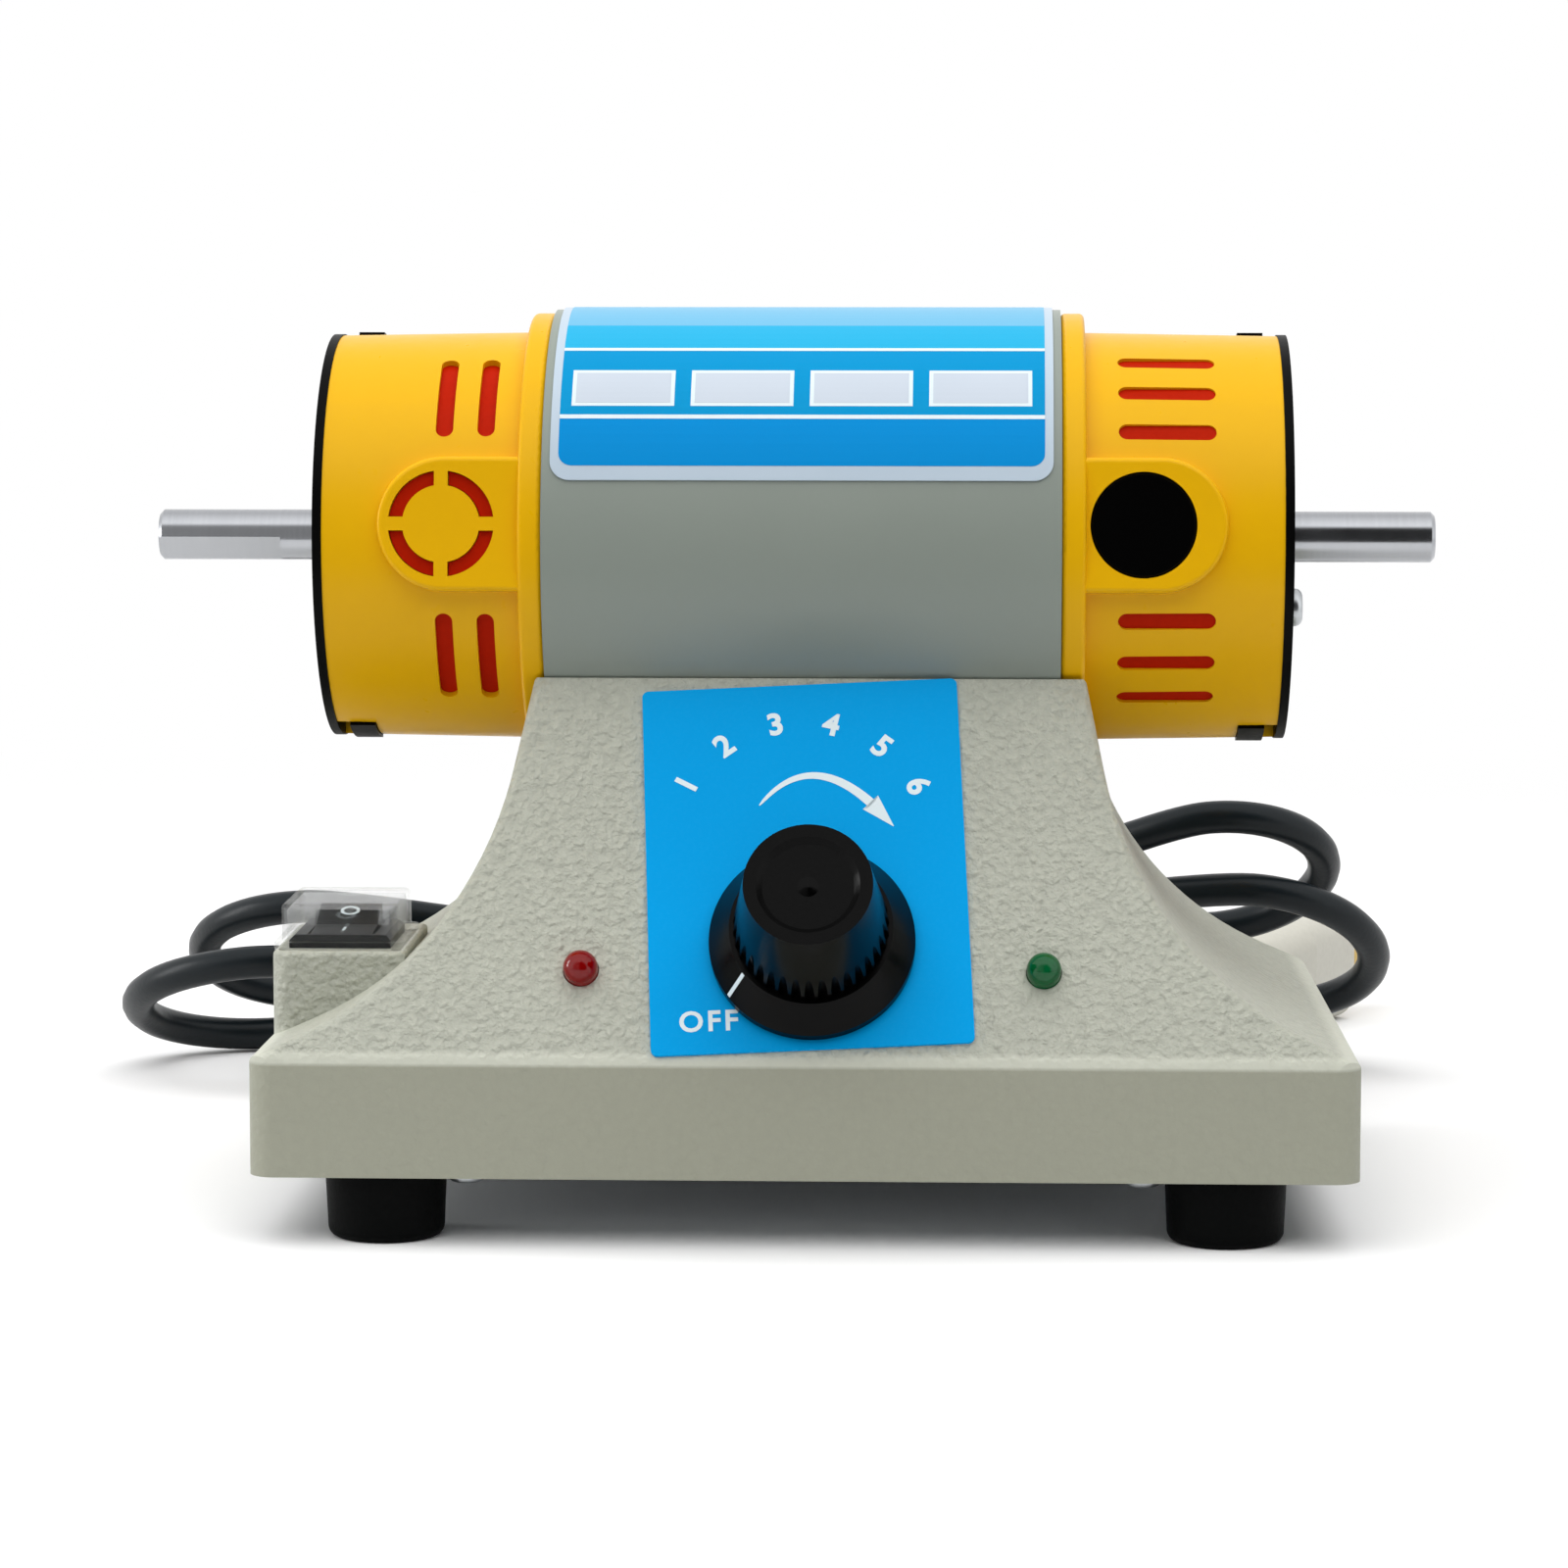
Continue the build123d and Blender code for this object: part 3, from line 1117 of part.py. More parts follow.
def hank_path():
    """Loops of the hank in its own frame, as straight stretches at the tie and biarcs between."""
    right = Vector(1, 0, 0)
    down = Vector(0, 1, 0)
    edges = [Edge.make_line(strand(0, -STRAND_STRAIGHT), strand(0, STRAND_STRAIGHT))]
    for turn in range(HANK_TURNS):
        far_right = Vector(RIGHT_REACH[turn], RIGHT_SKEW[turn], RIGHT_LAYER[turn])
        far_left = Vector(-LEFT_REACH[turn], LEFT_SKEW[turn], LEFT_LAYER[turn])
        climb = Vector(0, -1, 0).rotate(Axis.X, LEFT_TWIST[turn])
        out, back, home = 2 * turn, 2 * turn + 1, 2 * turn + 2
        edges += biarc(strand(out, STRAND_STRAIGHT), right, far_right, down)
        edges += biarc(far_right, down, strand(back, STRAND_STRAIGHT), right * -1)
        edges.append(Edge.make_line(strand(back, STRAND_STRAIGHT), strand(back, -STRAND_STRAIGHT)))
        edges += biarc(strand(back, -STRAND_STRAIGHT), right * -1, far_left, climb)
        edges += biarc(far_left, climb, strand(home, -STRAND_STRAIGHT), right)
        edges.append(Edge.make_line(strand(home, -STRAND_STRAIGHT), strand(home, STRAND_STRAIGHT)))
    return edges


def cord_tube(path):
    """Round cord along a path."""
    section = Plane(origin=path @ 0, z_dir=path % 0) * Circle(CORD_R)
    return sweep(section, path=path)


def hank_least_gap(edges):
    """Least clear gap between stretches of the hank that aren't neighbours."""
    points = []
    for edge in edges:
        count = max(2, round(edge.length / CORD_R))
        points += [tuple(edge @ (i / count)) for i in range(count)]
    apart = round(4 * STRAND_STRAIGHT / CORD_R)
    pairs = ((i, j) for i in range(len(points)) for j in range(i + apart, len(points)))
    return min(math.dist(points[i], points[j]) for i, j in pairs) - 2 * CORD_R


def fillet_radii(points):
    """Radius at each corner of a route, as large as its two runs allow."""
    room = [CORNER_SHARE * (b - a).length for a, b in zip(points, points[1:])]
    room[0] *= 2
    room[-1] *= 2
    radii = []
    for i, (a, b, c) in enumerate(zip(points, points[1:], points[2:])):
        turn = math.radians((b - a).get_angle(c - b))
        radii.append(min(room[i], room[i + 1]) / math.tan(turn / 2))
    return radii


def route_tube(name, points):
    """Plain cord tube along hand-placed points, with its radii and length printed."""
    radii = fillet_radii(points)
    path = FilletPolyline(*points, radius=radii)
    tube = cord_tube(path)
    share = tube.volume / (math.pi * CORD_R ** 2 * path.length)
    print(name, "length", round(path.length, 1), "volume share", round(share, 4))
    print(name, "radii", [round(r) for r in radii])
    return tube


def lead_points():
    """Route of the lead from the gland's nose over the hank's left loops to the tie."""
    frame = hank_frame()
    end = frame.from_local_coords(strand(0, -STRAND_STRAIGHT))
    before = frame.from_local_coords(strand(0, -STRAND_STRAIGHT - LEAD_RUN))
    nose = Vector(GLAND_X, BASE_REAR + GLAND_LENGTH, GLAND_Z)
    return [nose] + [Vector(*spot) for spot in LEAD_WAY] + [before, end]


def sleeve_nose():
    """Point where the tail enters the plug's sleeve."""
    return Vector(*PLUG_AT, PLUG_HEIGHT / 2)


def plug_direction():
    """Direction of the plug on the table, from its sleeve to its pins."""
    return Vector(math.cos(math.radians(PLUG_TURN)), math.sin(math.radians(PLUG_TURN)), 0)


def tail_points():
    """Route of the tail from the tie down to the plug's sleeve."""
    frame = hank_frame()
    last = 2 * HANK_TURNS
    start = frame.from_local_coords(strand(last, STRAND_STRAIGHT))
    after = frame.from_local_coords(strand(last, STRAND_STRAIGHT + TAIL_RUN))
    nose = sleeve_nose()
    middle = [Vector(*spot) for spot in TAIL_WAY]
    return [start, after] + middle + [nose - plug_direction() * PLUG_RUN, nose]


def cord_tie():
    """Band round the strands at the hank's waist."""
    rings = Sketch()
    for number in range(2 * HANK_TURNS + 1):
        spot = strand(number, 0)
        rings += Pos(spot.Y, spot.Z) * Circle(CORD_R + FIT_GAP)
    inner = make_hull(rings.edges())
    band = offset(inner, TIE_THICK) - inner
    return hank_frame().location * extrude(Plane.YZ * band, TIE_LENGTH / 2, both=True)


def plug_frame(distance):
    """Frame along the plug's axis, x across it and y up."""
    way = plug_direction()
    place = sleeve_nose() + way * distance
    return Plane(origin=place, x_dir=(-way.Y, way.X, 0), z_dir=way)


def plug_sleeve():
    """Tapered black sleeve between cord and plug, with rings cut into it."""
    sleeve = Cone(SLEEVE_NOSE_R, SLEEVE_R, SLEEVE_LENGTH, align=LOW)
    pitch = SLEEVE_LENGTH / (SLEEVE_RINGS + 1)
    for i in range(SLEEVE_RINGS):
        core_r = SLEEVE_NOSE_R - SLEEVE_RING_CUT / 2
        cut = Cylinder(2 * SLEEVE_R, pitch / 3, align=LOW) - Cylinder(core_r, 3 * pitch)
        sleeve -= Pos(0, 0, (i + 0.7) * pitch) * cut
    return plug_frame(0).location * sleeve


def mains_plug():
    """Light grey plug body, swelling from its neck."""
    neck = plug_frame(SLEEVE_LENGTH) * RectangleRounded(PLUG_NECK_WIDTH, PLUG_NECK_HEIGHT, PLUG_CORNER)
    full = RectangleRounded(PLUG_WIDTH, PLUG_HEIGHT, PLUG_CORNER)
    swell = loft([neck, plug_frame(SLEEVE_LENGTH + PLUG_NECK) * full])
    return swell + extrude(plug_frame(SLEEVE_LENGTH + PLUG_NECK) * full, PLUG_LENGTH - PLUG_NECK)


def plug_pins():
    """Two flat pins of the plug."""
    face = plug_frame(SLEEVE_LENGTH + PLUG_LENGTH).location
    pin = Box(PIN_THICK, PIN_WIDTH, PIN_LENGTH, align=LOW)
    pin = chamfer(pin.faces().sort_by(Axis.Z)[-1].edges(), PIN_THICK / 3)
    return [face * Pos(side * PIN_SPAN / 2, 0, 0) * pin for side in (-1, 1)]


def cord_hank():
    """The hank as one unbroken tube."""
    edges = hank_path()
    wire = Wire(edges)
    tube = cord_tube(wire)
    share = tube.volume / (math.pi * CORD_R ** 2 * wire.length)
    print("hank length", round(wire.length, 1), "volume share", round(share, 4))
    print("hank least gap", round(hank_least_gap(edges), 2))
    print("hank radii", sorted({round(e.radius) for e in edges if e.geom_type == GeomType.CIRCLE}))
    return hank_frame().location * tube


def screws_at(spots, z, pin):
    """One screw at each plan position."""
    return [Pos(x, y, z) * pin for x, y in spots]


def pieces():
    """Every node of the machine with its solid or solids."""
    plate_top = FOOT_HEIGHT + PLATE_THICK
    plate_screw = Rot(180, 0, 0) * screw(PLATE_SCREW_R, PLATE_SCREW_LENGTH, SCREW_HEAD_R, SCREW_HEAD_HEIGHT)
    board_screw = screw(BOARD_SCREW_R, BOARD_SCREW_LENGTH, 2 * BOARD_SCREW_R, BOARD_SCREW_R)
    board_top = plate_top + BOARD_STAND + BOARD_THICK
    cradle_floor = AXIS_Z - TUBE_R - FIT_GAP - WALL
    nut = hex_nut(FOOT_NUT_ACROSS, FOOT_NUT_HEIGHT, FOOT_SCREW_R + FIT_GAP)
    return {
        "base_housing": base_housing(),
        "bottom_plate": bottom_plate(),
        "bottom_plate_screws": screws_at(plate_screw_spots(), FOOT_HEIGHT, plate_screw),
        "rubber_feet": screws_at(foot_spots(), 0, rubber_foot()),
        "foot_screws": screws_at(foot_spots(), FOOT_SCREW_RECESS, foot_screw()),
        "foot_nuts": screws_at(foot_spots(), plate_top, nut),
        "control_board": control_board(),
        "board_screws": screws_at(board_spots(), board_top, board_screw),
        "board_parts": board_parts(),
        "heat_sink": heat_sink(),
        "control_plate": control_plate(),
        "speed_knob": speed_knob(),
        "potentiometer_body": potentiometer_body(),
        "potentiometer_shaft": potentiometer_shaft(),
        "potentiometer_nut": potentiometer_nut(),
        "red_lamp": lamp(-1),
        "green_lamp": lamp(1),
        "switch_body": switch_body(),
        "switch_rocker": switch_rocker(),
        "switch_terminals": switch_terminals(),
        "switch_cover": switch_cover(),
        "motor_tube": motor_tube(),
        "motor_label": motor_label(),
        "cradle_screws": screws_at(cradle_screw_spots(), cradle_floor, cradle_screw()),
        "left_end_cap": end_cap("left"),
        "right_end_cap": end_cap("right"),
        "left_insulating_sleeve": insulating_sleeve("left"),
        "right_insulating_sleeve": insulating_sleeve("right"),
        "left_end_plate": end_plate("left"),
        "right_end_plate": end_plate("right"),
        "end_plate_screws": end_plate_screws(),
        "tie_bolts": tie_bolts(),
        "left_bearing_outer": bearing_outer("left"),
        "right_bearing_outer": bearing_outer("right"),
        "left_bearing_inner": bearing_inner("left"),
        "right_bearing_inner": bearing_inner("right"),
        "spindle": spindle(),
        "armature_core": armature_core(),
        "armature_winding": armature_winding(),
        "commutator": commutator(),
        "cooling_fan": cooling_fan(),
        "stator_core": stator_core(),
        "field_coils": field_coils(),
        "brush_holders": brush_holders(),
        "carbon_brushes": carbon_brushes(),
        "brush_springs": brush_springs(),
        "front_brush_cap": brush_cap(0),
        "rear_brush_cap": brush_cap(180),
        "cord_gland": cord_gland(),
        "cord_lead": route_tube("lead", lead_points()),
        "cord_hank": cord_hank(),
        "cord_tail": route_tube("tail", tail_points()),
        "cord_tie": cord_tie(),
        "plug_sleeve": plug_sleeve(),
        "mains_plug": mains_plug(),
        "plug_pins": plug_pins(),
    }


os.makedirs("parts", exist_ok=True)
for name, solid in pieces().items():
    shape = Compound(children=solid) if isinstance(solid, list) else solid
    export_step(shape, f"parts/{name}.step")
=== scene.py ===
import math
import bmesh
import bpy
from mathutils import Matrix, Vector


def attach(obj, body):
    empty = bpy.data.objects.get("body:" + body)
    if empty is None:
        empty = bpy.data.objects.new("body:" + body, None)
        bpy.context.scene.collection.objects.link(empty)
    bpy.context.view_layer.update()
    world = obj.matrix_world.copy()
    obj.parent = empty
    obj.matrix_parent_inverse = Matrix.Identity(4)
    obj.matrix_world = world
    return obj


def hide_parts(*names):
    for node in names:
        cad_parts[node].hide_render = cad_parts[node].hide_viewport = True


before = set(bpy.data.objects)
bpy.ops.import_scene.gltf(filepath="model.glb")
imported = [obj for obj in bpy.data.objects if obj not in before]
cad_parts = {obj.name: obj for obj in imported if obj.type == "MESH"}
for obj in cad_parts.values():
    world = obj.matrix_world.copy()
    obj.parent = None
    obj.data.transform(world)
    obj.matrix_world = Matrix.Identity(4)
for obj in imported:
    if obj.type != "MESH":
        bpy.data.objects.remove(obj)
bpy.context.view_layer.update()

# Sizes of the polisher, in millimetres and degrees where nothing else is said

MM = 0.001

# Motor: its line, and the face of its label
AXIS_Y = 14.0
AXIS_Z = 102.4
LABEL_FACE_R = 35.95
LABEL_X = 2.2

# Slanted panel with its plate, and the top edge of the plinth under it
PANEL_SLANT = 30.5
PANEL_ORIGIN = (4.6, -48.0, 28.1)
PLATE_FACE = 0.6
PLATE_SKEW = 3.0
BASE_TOP = 28.1

# Knob: how far up the panel and off it, and the radius and height of its skirt's two ends
KNOB_UP = 18.8
KNOB_LIFT = 1.0
SKIRT_LOW = (15.4, 1.6)
SKIRT_HIGH = (12.2, 6.4)

# Rocker: its hinge, half its length, the height of its ends and of its middle, and its tilt at rest
SWITCH_AT = (-68.2, -13.2, 41.4)
ROCKER_HALF = 7.0
ROCKER_RISE = 3.5
ROCKER_DIP = 2.5
ROCKER_TILT = 12.0

# Mains cord, with its length in metres
CORD_R = 2.9
CORD_STEPS = 8
CORD_ROUNDING = 5
GLAND_NOSE = (-69.0, 72.0, 20.0)
HANK_AT = (-3.0, 112.0, 25.6)
HANK_RISE = 3.9
HANK_LEAN = 36.0
HANK_TURNS = 2
RIGHT_REACH = (94.0, 102.0)
RIGHT_SKEW = (-5.5, 8.0)
RIGHT_LAYER = (4.0, -8.5)
LEFT_REACH = (107.5, 119.0)
LEFT_SKEW = (5.6, 4.4)
LEFT_LAYER = (5.5, -5.2)
LEFT_TWIST = (6.0, 12.0)
STRAND_STEP = 3.35
STRAND_ROW = 2.95
STRAND_STRAIGHT = 6.0
LEAD_WAY = ((-69.0, 85.5, 21.0), (-50.0, 100.5, 35.0))
LEAD_RUN = 14.0
TAIL_WAY = ((36.0, 108.0, 12.5), (52.0, 117.5, 5.2))
TAIL_RUN = 14.0
PLUG_RUN = 10.0
PLUG_TURN = 63.0
SLEEVE_NOSE = (68.0, 144.0, 10.25)
MOST_TURN = 30.0


def metres(point):
    """A point given in millimetres, in metres."""
    return Vector(point) * MM


# Camera of the studio picture: its place and lens in millimetres, its turns in radians, its range in metres

CAMERA_AT = (30.1, -803.0, 152.7)
CAMERA_YAW = -0.0389
CAMERA_PITCH = 0.1094
CAMERA_LENS = 118.79
CAMERA_SENSOR = 36.0
CAMERA_NEAR = 0.05
CAMERA_FAR = 50.0


def make_camera():
    """Long lens, a little above and to the right of the machine, turned slightly left and down."""
    camera = bpy.data.objects.new("camera", bpy.data.cameras.new("camera"))
    camera.data.lens = CAMERA_LENS
    camera.data.sensor_width = CAMERA_SENSOR
    camera.data.clip_start = CAMERA_NEAR
    camera.data.clip_end = CAMERA_FAR
    camera.location = metres(CAMERA_AT)
    camera.rotation_euler = (math.pi / 2 - CAMERA_PITCH, 0.0, -CAMERA_YAW)
    bpy.context.collection.objects.link(camera)
    bpy.context.scene.camera = camera


# Mains cord

def hank_matrix():
    """Frame of the tied hank: x along its strands, y forward and down its lean, z through its layers."""
    rise = math.radians(HANK_RISE)
    lean = math.radians(HANK_LEAN)
    along = Vector((math.cos(rise), 0.0, math.sin(rise)))
    through = along.cross(Vector((0.0, math.cos(lean), -math.sin(lean)))).normalized()
    across = through.cross(along)
    turn = Matrix((along, across, through)).transposed().to_4x4()
    return Matrix.Translation(HANK_AT) @ turn


def strand(number, x):
    """Point of one strand where the tie holds it; even strands run to the right, odd ones back."""
    row = STRAND_ROW if number % 2 else -STRAND_ROW
    return Vector((x, row, (HANK_TURNS - number) * STRAND_STEP))


def arc_points(start, heading, end):
    """Control points round one arc of a loop, each where two of its tangents meet."""
    chord = end - start
    leaving = 2 * chord.dot(heading) / chord.length_squared * chord - heading
    turn = heading.angle(leaving)
    radius = chord.length / (2 * math.sin(turn / 2))
    inward = (leaving - math.cos(turn) * heading) / math.sin(turn)
    parts = math.ceil(turn / math.radians(MOST_TURN))
    reach = radius / math.cos(turn / parts / 2)
    points = []
    for part in range(parts):
        angle = (part + 0.5) * turn / parts
        ahead = heading * reach * math.sin(angle)
        points.append(start + ahead + inward * (radius - reach * math.cos(angle)))
    return points


def loop_points(start, start_way, end, end_way):
    """Control points of two arcs that join two points in given directions."""
    span = end - start
    both = start_way + end_way
    square = 2 * (1 - start_way.dot(end_way))
    reach = (-span.dot(both) + math.sqrt(span.dot(both) ** 2 + square * span.dot(span))) / square
    first = start + start_way * reach
    last = end - end_way * reach
    joint = (first + last) / 2
    return arc_points(start, start_way, joint) + arc_points(joint, (last - first).normalized(), end)


def hank_points():
    """The hank's two turns in its own frame, each from the tie to the right, back and to the left."""
    right = Vector((1.0, 0.0, 0.0))
    down = Vector((0.0, 1.0, 0.0))
    points = [strand(0, -STRAND_STRAIGHT), strand(0, STRAND_STRAIGHT)]
    for turn in range(HANK_TURNS):
        far_right = Vector((RIGHT_REACH[turn], RIGHT_SKEW[turn], RIGHT_LAYER[turn]))
        far_left = Vector((-LEFT_REACH[turn], LEFT_SKEW[turn], LEFT_LAYER[turn]))
        climb = Matrix.Rotation(math.radians(LEFT_TWIST[turn]), 3, "X") @ -down
        out, back, home = [strand(2 * turn + i, STRAND_STRAIGHT) for i in range(3)]
        back_left, home_left = [strand(2 * turn + i, -STRAND_STRAIGHT) for i in (1, 2)]
        points += loop_points(out, right, far_right, down)
        points += loop_points(far_right, down, back, -right)
        points += [back, back_left]
        points += loop_points(back_left, -right, far_left, climb)
        points += loop_points(far_left, climb, home_left, right)
        points += [home_left, home]
    return points


def cord_route():
    """The whole cord: lead from the gland to the tie, hank, and tail down to the plug's sleeve."""
    place = hank_matrix()
    plug_turn = math.radians(PLUG_TURN)
    plug_way = Vector((math.cos(plug_turn), math.sin(plug_turn), 0.0))
    nose = Vector(SLEEVE_NOSE)
    lead_end = place @ strand(0, -STRAND_STRAIGHT - LEAD_RUN)
    tail_start = place @ strand(2 * HANK_TURNS, STRAND_STRAIGHT + TAIL_RUN)
    lead = [Vector(GLAND_NOSE), *map(Vector, LEAD_WAY), lead_end]
    hank = [place @ point for point in hank_points()]
    tail = [tail_start, *map(Vector, TAIL_WAY), nose - plug_way * PLUG_RUN, nose]
    return lead + hank + tail


def make_cord():
    """Round rubber cord on one smooth curve; its bevel is 1, so each point's radius is the cord's own."""
    points = cord_route()
    curve = bpy.data.curves.new("mains_cord", "CURVE")
    curve.dimensions = "3D"
    curve.resolution_u = CORD_STEPS
    curve.bevel_depth = 1.0
    curve.bevel_resolution = CORD_ROUNDING
    curve.use_fill_caps = True
    line = curve.splines.new("NURBS")
    line.points.add(len(points) - 1)
    for control, point in zip(line.points, points):
        control.co = (*metres(point), 1.0)
        control.radius = CORD_R * MM
    line.order_u = 3
    line.use_endpoint_u = True
    cord = bpy.data.objects.new("mains_cord", curve)
    bpy.context.collection.objects.link(cord)
    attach(cord, "machine")
    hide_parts("cord_lead", "cord_hank", "cord_tail")
    return cord


make_camera()
mains_cord = make_cord()


# Materials

def linear(text):
    """An sRGB hex colour as linear red, green, blue and alpha."""
    parts = [int(text[i:i + 2], 16) / 255 for i in (1, 3, 5)]
    return (*[c / 12.92 if c <= 0.04045 else ((c + 0.055) / 1.055) ** 2.4 for c in parts], 1.0)


def add(tree, kind, settings=None, inputs=None):
    """Adds a node, gives it its settings, and sets or links its inputs."""
    node = tree.nodes.new(kind)
    for name, value in (settings or {}).items():
        setattr(node, name, value)
    for name, value in (inputs or {}).items():
        if isinstance(value, bpy.types.NodeSocket):
            tree.links.new(value, node.inputs[name])
        else:
            node.inputs[name].default_value = value
    return node


def new_material(name, **sockets):
    """A material with a surface shader whose plain numbers are set, its tree, and object coordinates."""
    material = bpy.data.materials.new(name)
    material.use_nodes = True
    tree = material.node_tree
    tree.nodes.clear()
    surface = add(tree, "ShaderNodeBsdfPrincipled")
    for socket, value in sockets.items():
        surface.inputs[socket.replace("_", " ")].default_value = value
    add(tree, "ShaderNodeOutputMaterial", inputs={"Surface": surface.outputs["BSDF"]})
    place = add(tree, "ShaderNodeTexCoord").outputs["Object"]
    return material, tree, surface, place


def per_mm(size):
    """Noise scale that gives features of that size in millimetres."""
    return 1.0 / (size * MM)


def connect(tree, surface, colour, roughness=None, normal=None):
    """Links what the pattern gives to the surface shader."""
    tree.links.new(colour, surface.inputs["Base Color"])
    if roughness:
        tree.links.new(roughness, surface.inputs["Roughness"])
    if normal:
        tree.links.new(normal, surface.inputs["Normal"])


def vary(tree, surface, colours, roughness, tone, wear, relief=None, depth=0.0):
    """Lets patterns vary a surface: tone its tint from dark to light, wear its roughness between two
    values, and relief its height, by a depth in millimetres."""
    light, dark = colours
    tint = add(tree, "ShaderNodeMix", {"data_type": "RGBA"}, {0: tone, 6: linear(dark), 7: linear(light)})
    dull = add(tree, "ShaderNodeMapRange",
               inputs={"Value": wear, "To Min": roughness[0], "To Max": roughness[1]})
    normal = None
    if relief:
        bump = add(tree, "ShaderNodeBump", inputs={"Height": relief, "Distance": depth * MM})
        normal = bump.outputs["Normal"]
    connect(tree, surface, tint.outputs[2], dull.outputs[0], normal)


def fill_ramp(node, stops, low, high):
    """Sets a colour ramp's stops, given at heights or angles between low and high."""
    ramp = node.color_ramp
    while len(ramp.elements) < len(stops):
        ramp.elements.new(1.0)
    for stop, (at, colour) in zip(ramp.elements, stops):
        stop.position = (at - low) / (high - low)
        stop.color = linear(colour)
    return ramp


MOULD_WEAR = 0.06


def moulded_plastic(name, colour, shade, grain, depth, roughness, **sockets):
    """Plastic or rubber from a finely eroded mould: one colour right through, with small soft pits. Real
    pits are under 0.1 mm, too fine to show, so they are drawn coarser, at the grain given."""
    material, tree, surface, place = new_material(name, **sockets)
    pits = add(tree, "ShaderNodeTexNoise", inputs={"Vector": place, "Scale": per_mm(grain), "Detail": 3.0})
    pit = pits.outputs["Fac"]
    worn = (roughness + MOULD_WEAR, roughness - MOULD_WEAR)
    vary(tree, surface, (colour, shade), worn, pit, pit, pit, depth)
    return material


# Leather grain of the housing: its pebbles, the finer grain on them, how much is left on the plinth, the
# heights over which it sets in, and the tint by height, which is painted light and shade
PEBBLE = 1.35
PEBBLE_SOFTNESS = 0.7
PEBBLE_DEPTH = 0.5
PEBBLE_GRAIN = 0.8
PLAIN_GRAIN = 0.25
PIT_RANGE = 0.35
GRAIN_FROM = BASE_TOP + 0.4
GRAIN_TO = BASE_TOP + 1.6
# Painted shade on the upright plinth, a painted highlight along its rim, painted light on the slanted
# pedestal
PLINTH_SHADED_GREY = "#9e9f8f"
RIM_HIGHLIGHT_GREY = "#c8cabc"
PEDESTAL_LIT_GREY = "#b2b4a7"
HOUSING_LIGHT_BANDS = (
    (BASE_TOP - 6.0, PLINTH_SHADED_GREY),
    (BASE_TOP - 0.9, PLINTH_SHADED_GREY),
    (BASE_TOP - 0.3, RIM_HIGHLIGHT_GREY),
    (BASE_TOP + 0.8, RIM_HIGHLIGHT_GREY),
    (BASE_TOP + 1.7, PEDESTAL_LIT_GREY),
    (BASE_TOP + 6.0, PEDESTAL_LIT_GREY),
)


def grained_moulding(name, pit, roughness, **sockets):
    """Housing plastic with a leather grain: soft pebbles on the panel, a plainer face on the low plinth, and
    painted
    light and shade by height: the plinth darker, a painted highlight along its rim, the pedestal paler."""
    material, tree, surface, place = new_material(name, Roughness=roughness, **sockets)
    height = add(tree, "ShaderNodeSeparateXYZ", inputs={"Vector": place})
    low, high = HOUSING_LIGHT_BANDS[0][0], HOUSING_LIGHT_BANDS[-1][0]
    share = add(tree, "ShaderNodeMapRange",
                inputs={"Value": height.outputs["Z"], "From Min": low * MM, "From Max": high * MM})
    bands = add(tree, "ShaderNodeValToRGB", inputs={"Fac": share.outputs[0]})
    fill_ramp(bands, HOUSING_LIGHT_BANDS, low, high)
    pebble = add(tree, "ShaderNodeTexVoronoi", {"feature": "SMOOTH_F1"},
                 {"Vector": place, "Scale": per_mm(PEBBLE), "Smoothness": PEBBLE_SOFTNESS})
    rough = add(tree, "ShaderNodeTexNoise",
                inputs={"Vector": place, "Scale": per_mm(PEBBLE_GRAIN), "Detail": 2.0})
    both = add(tree, "ShaderNodeMath", {"operation": "SUBTRACT"},
               {0: rough.outputs["Fac"], 1: pebble.outputs["Distance"]})
    mask = add(tree, "ShaderNodeMapRange",
               inputs={"Value": height.outputs["Z"], "From Min": GRAIN_FROM * MM, "From Max": GRAIN_TO * MM,
                       "To Min": PLAIN_GRAIN, "To Max": 1.0})
    grain = add(tree, "ShaderNodeMath", {"operation": "MULTIPLY"},
                {0: both.outputs[0], 1: mask.outputs[0]})
    # Painted shade: the pits between the pebbles are darkened by the pit colour
    depth = add(tree, "ShaderNodeMapRange",
                inputs={"Value": grain.outputs[0], "From Min": PIT_RANGE, "From Max": -PIT_RANGE})
    tint = add(tree, "ShaderNodeMix", {"data_type": "RGBA", "blend_type": "MULTIPLY"},
               {0: depth.outputs[0], 6: bands.outputs["Color"], 7: linear(pit)})
    relief = add(tree, "ShaderNodeBump",
                 inputs={"Height": grain.outputs[0], "Distance": PEBBLE_DEPTH * MM})
    connect(tree, surface, tint.outputs[2], normal=relief.outputs["Normal"])
    return material


PEEL = 1.6
PEEL_DEPTH = 0.02
ENAMEL_PATCH = 22.0
ENAMEL_WEAR = (-0.06, 0.08)


def sprayed_enamel(name, colour, shade, roughness, **sockets):
    """Stove enamel sprayed on steel: an even coat with a soft orange peel and a few duller patches."""
    material, tree, surface, place = new_material(name, **sockets)
    peel = add(tree, "ShaderNodeTexNoise", inputs={"Vector": place, "Scale": per_mm(PEEL), "Detail": 2.0})
    patches = add(tree, "ShaderNodeTexNoise",
                  inputs={"Vector": place, "Scale": per_mm(ENAMEL_PATCH), "Detail": 4.0})
    patch = patches.outputs["Fac"]
    worn = [roughness + wear for wear in ENAMEL_WEAR]
    vary(tree, surface, (colour, shade), worn, patch, patch, peel.outputs["Fac"], PEEL_DEPTH)
    return material


TOOL_MARK_STRETCH = (1.0, 0.04, 0.04)
TOOL_MARK_DEPTH = 0.004
SMEAR = 9.0
SMEAR_WEAR = (-0.05, 0.1)


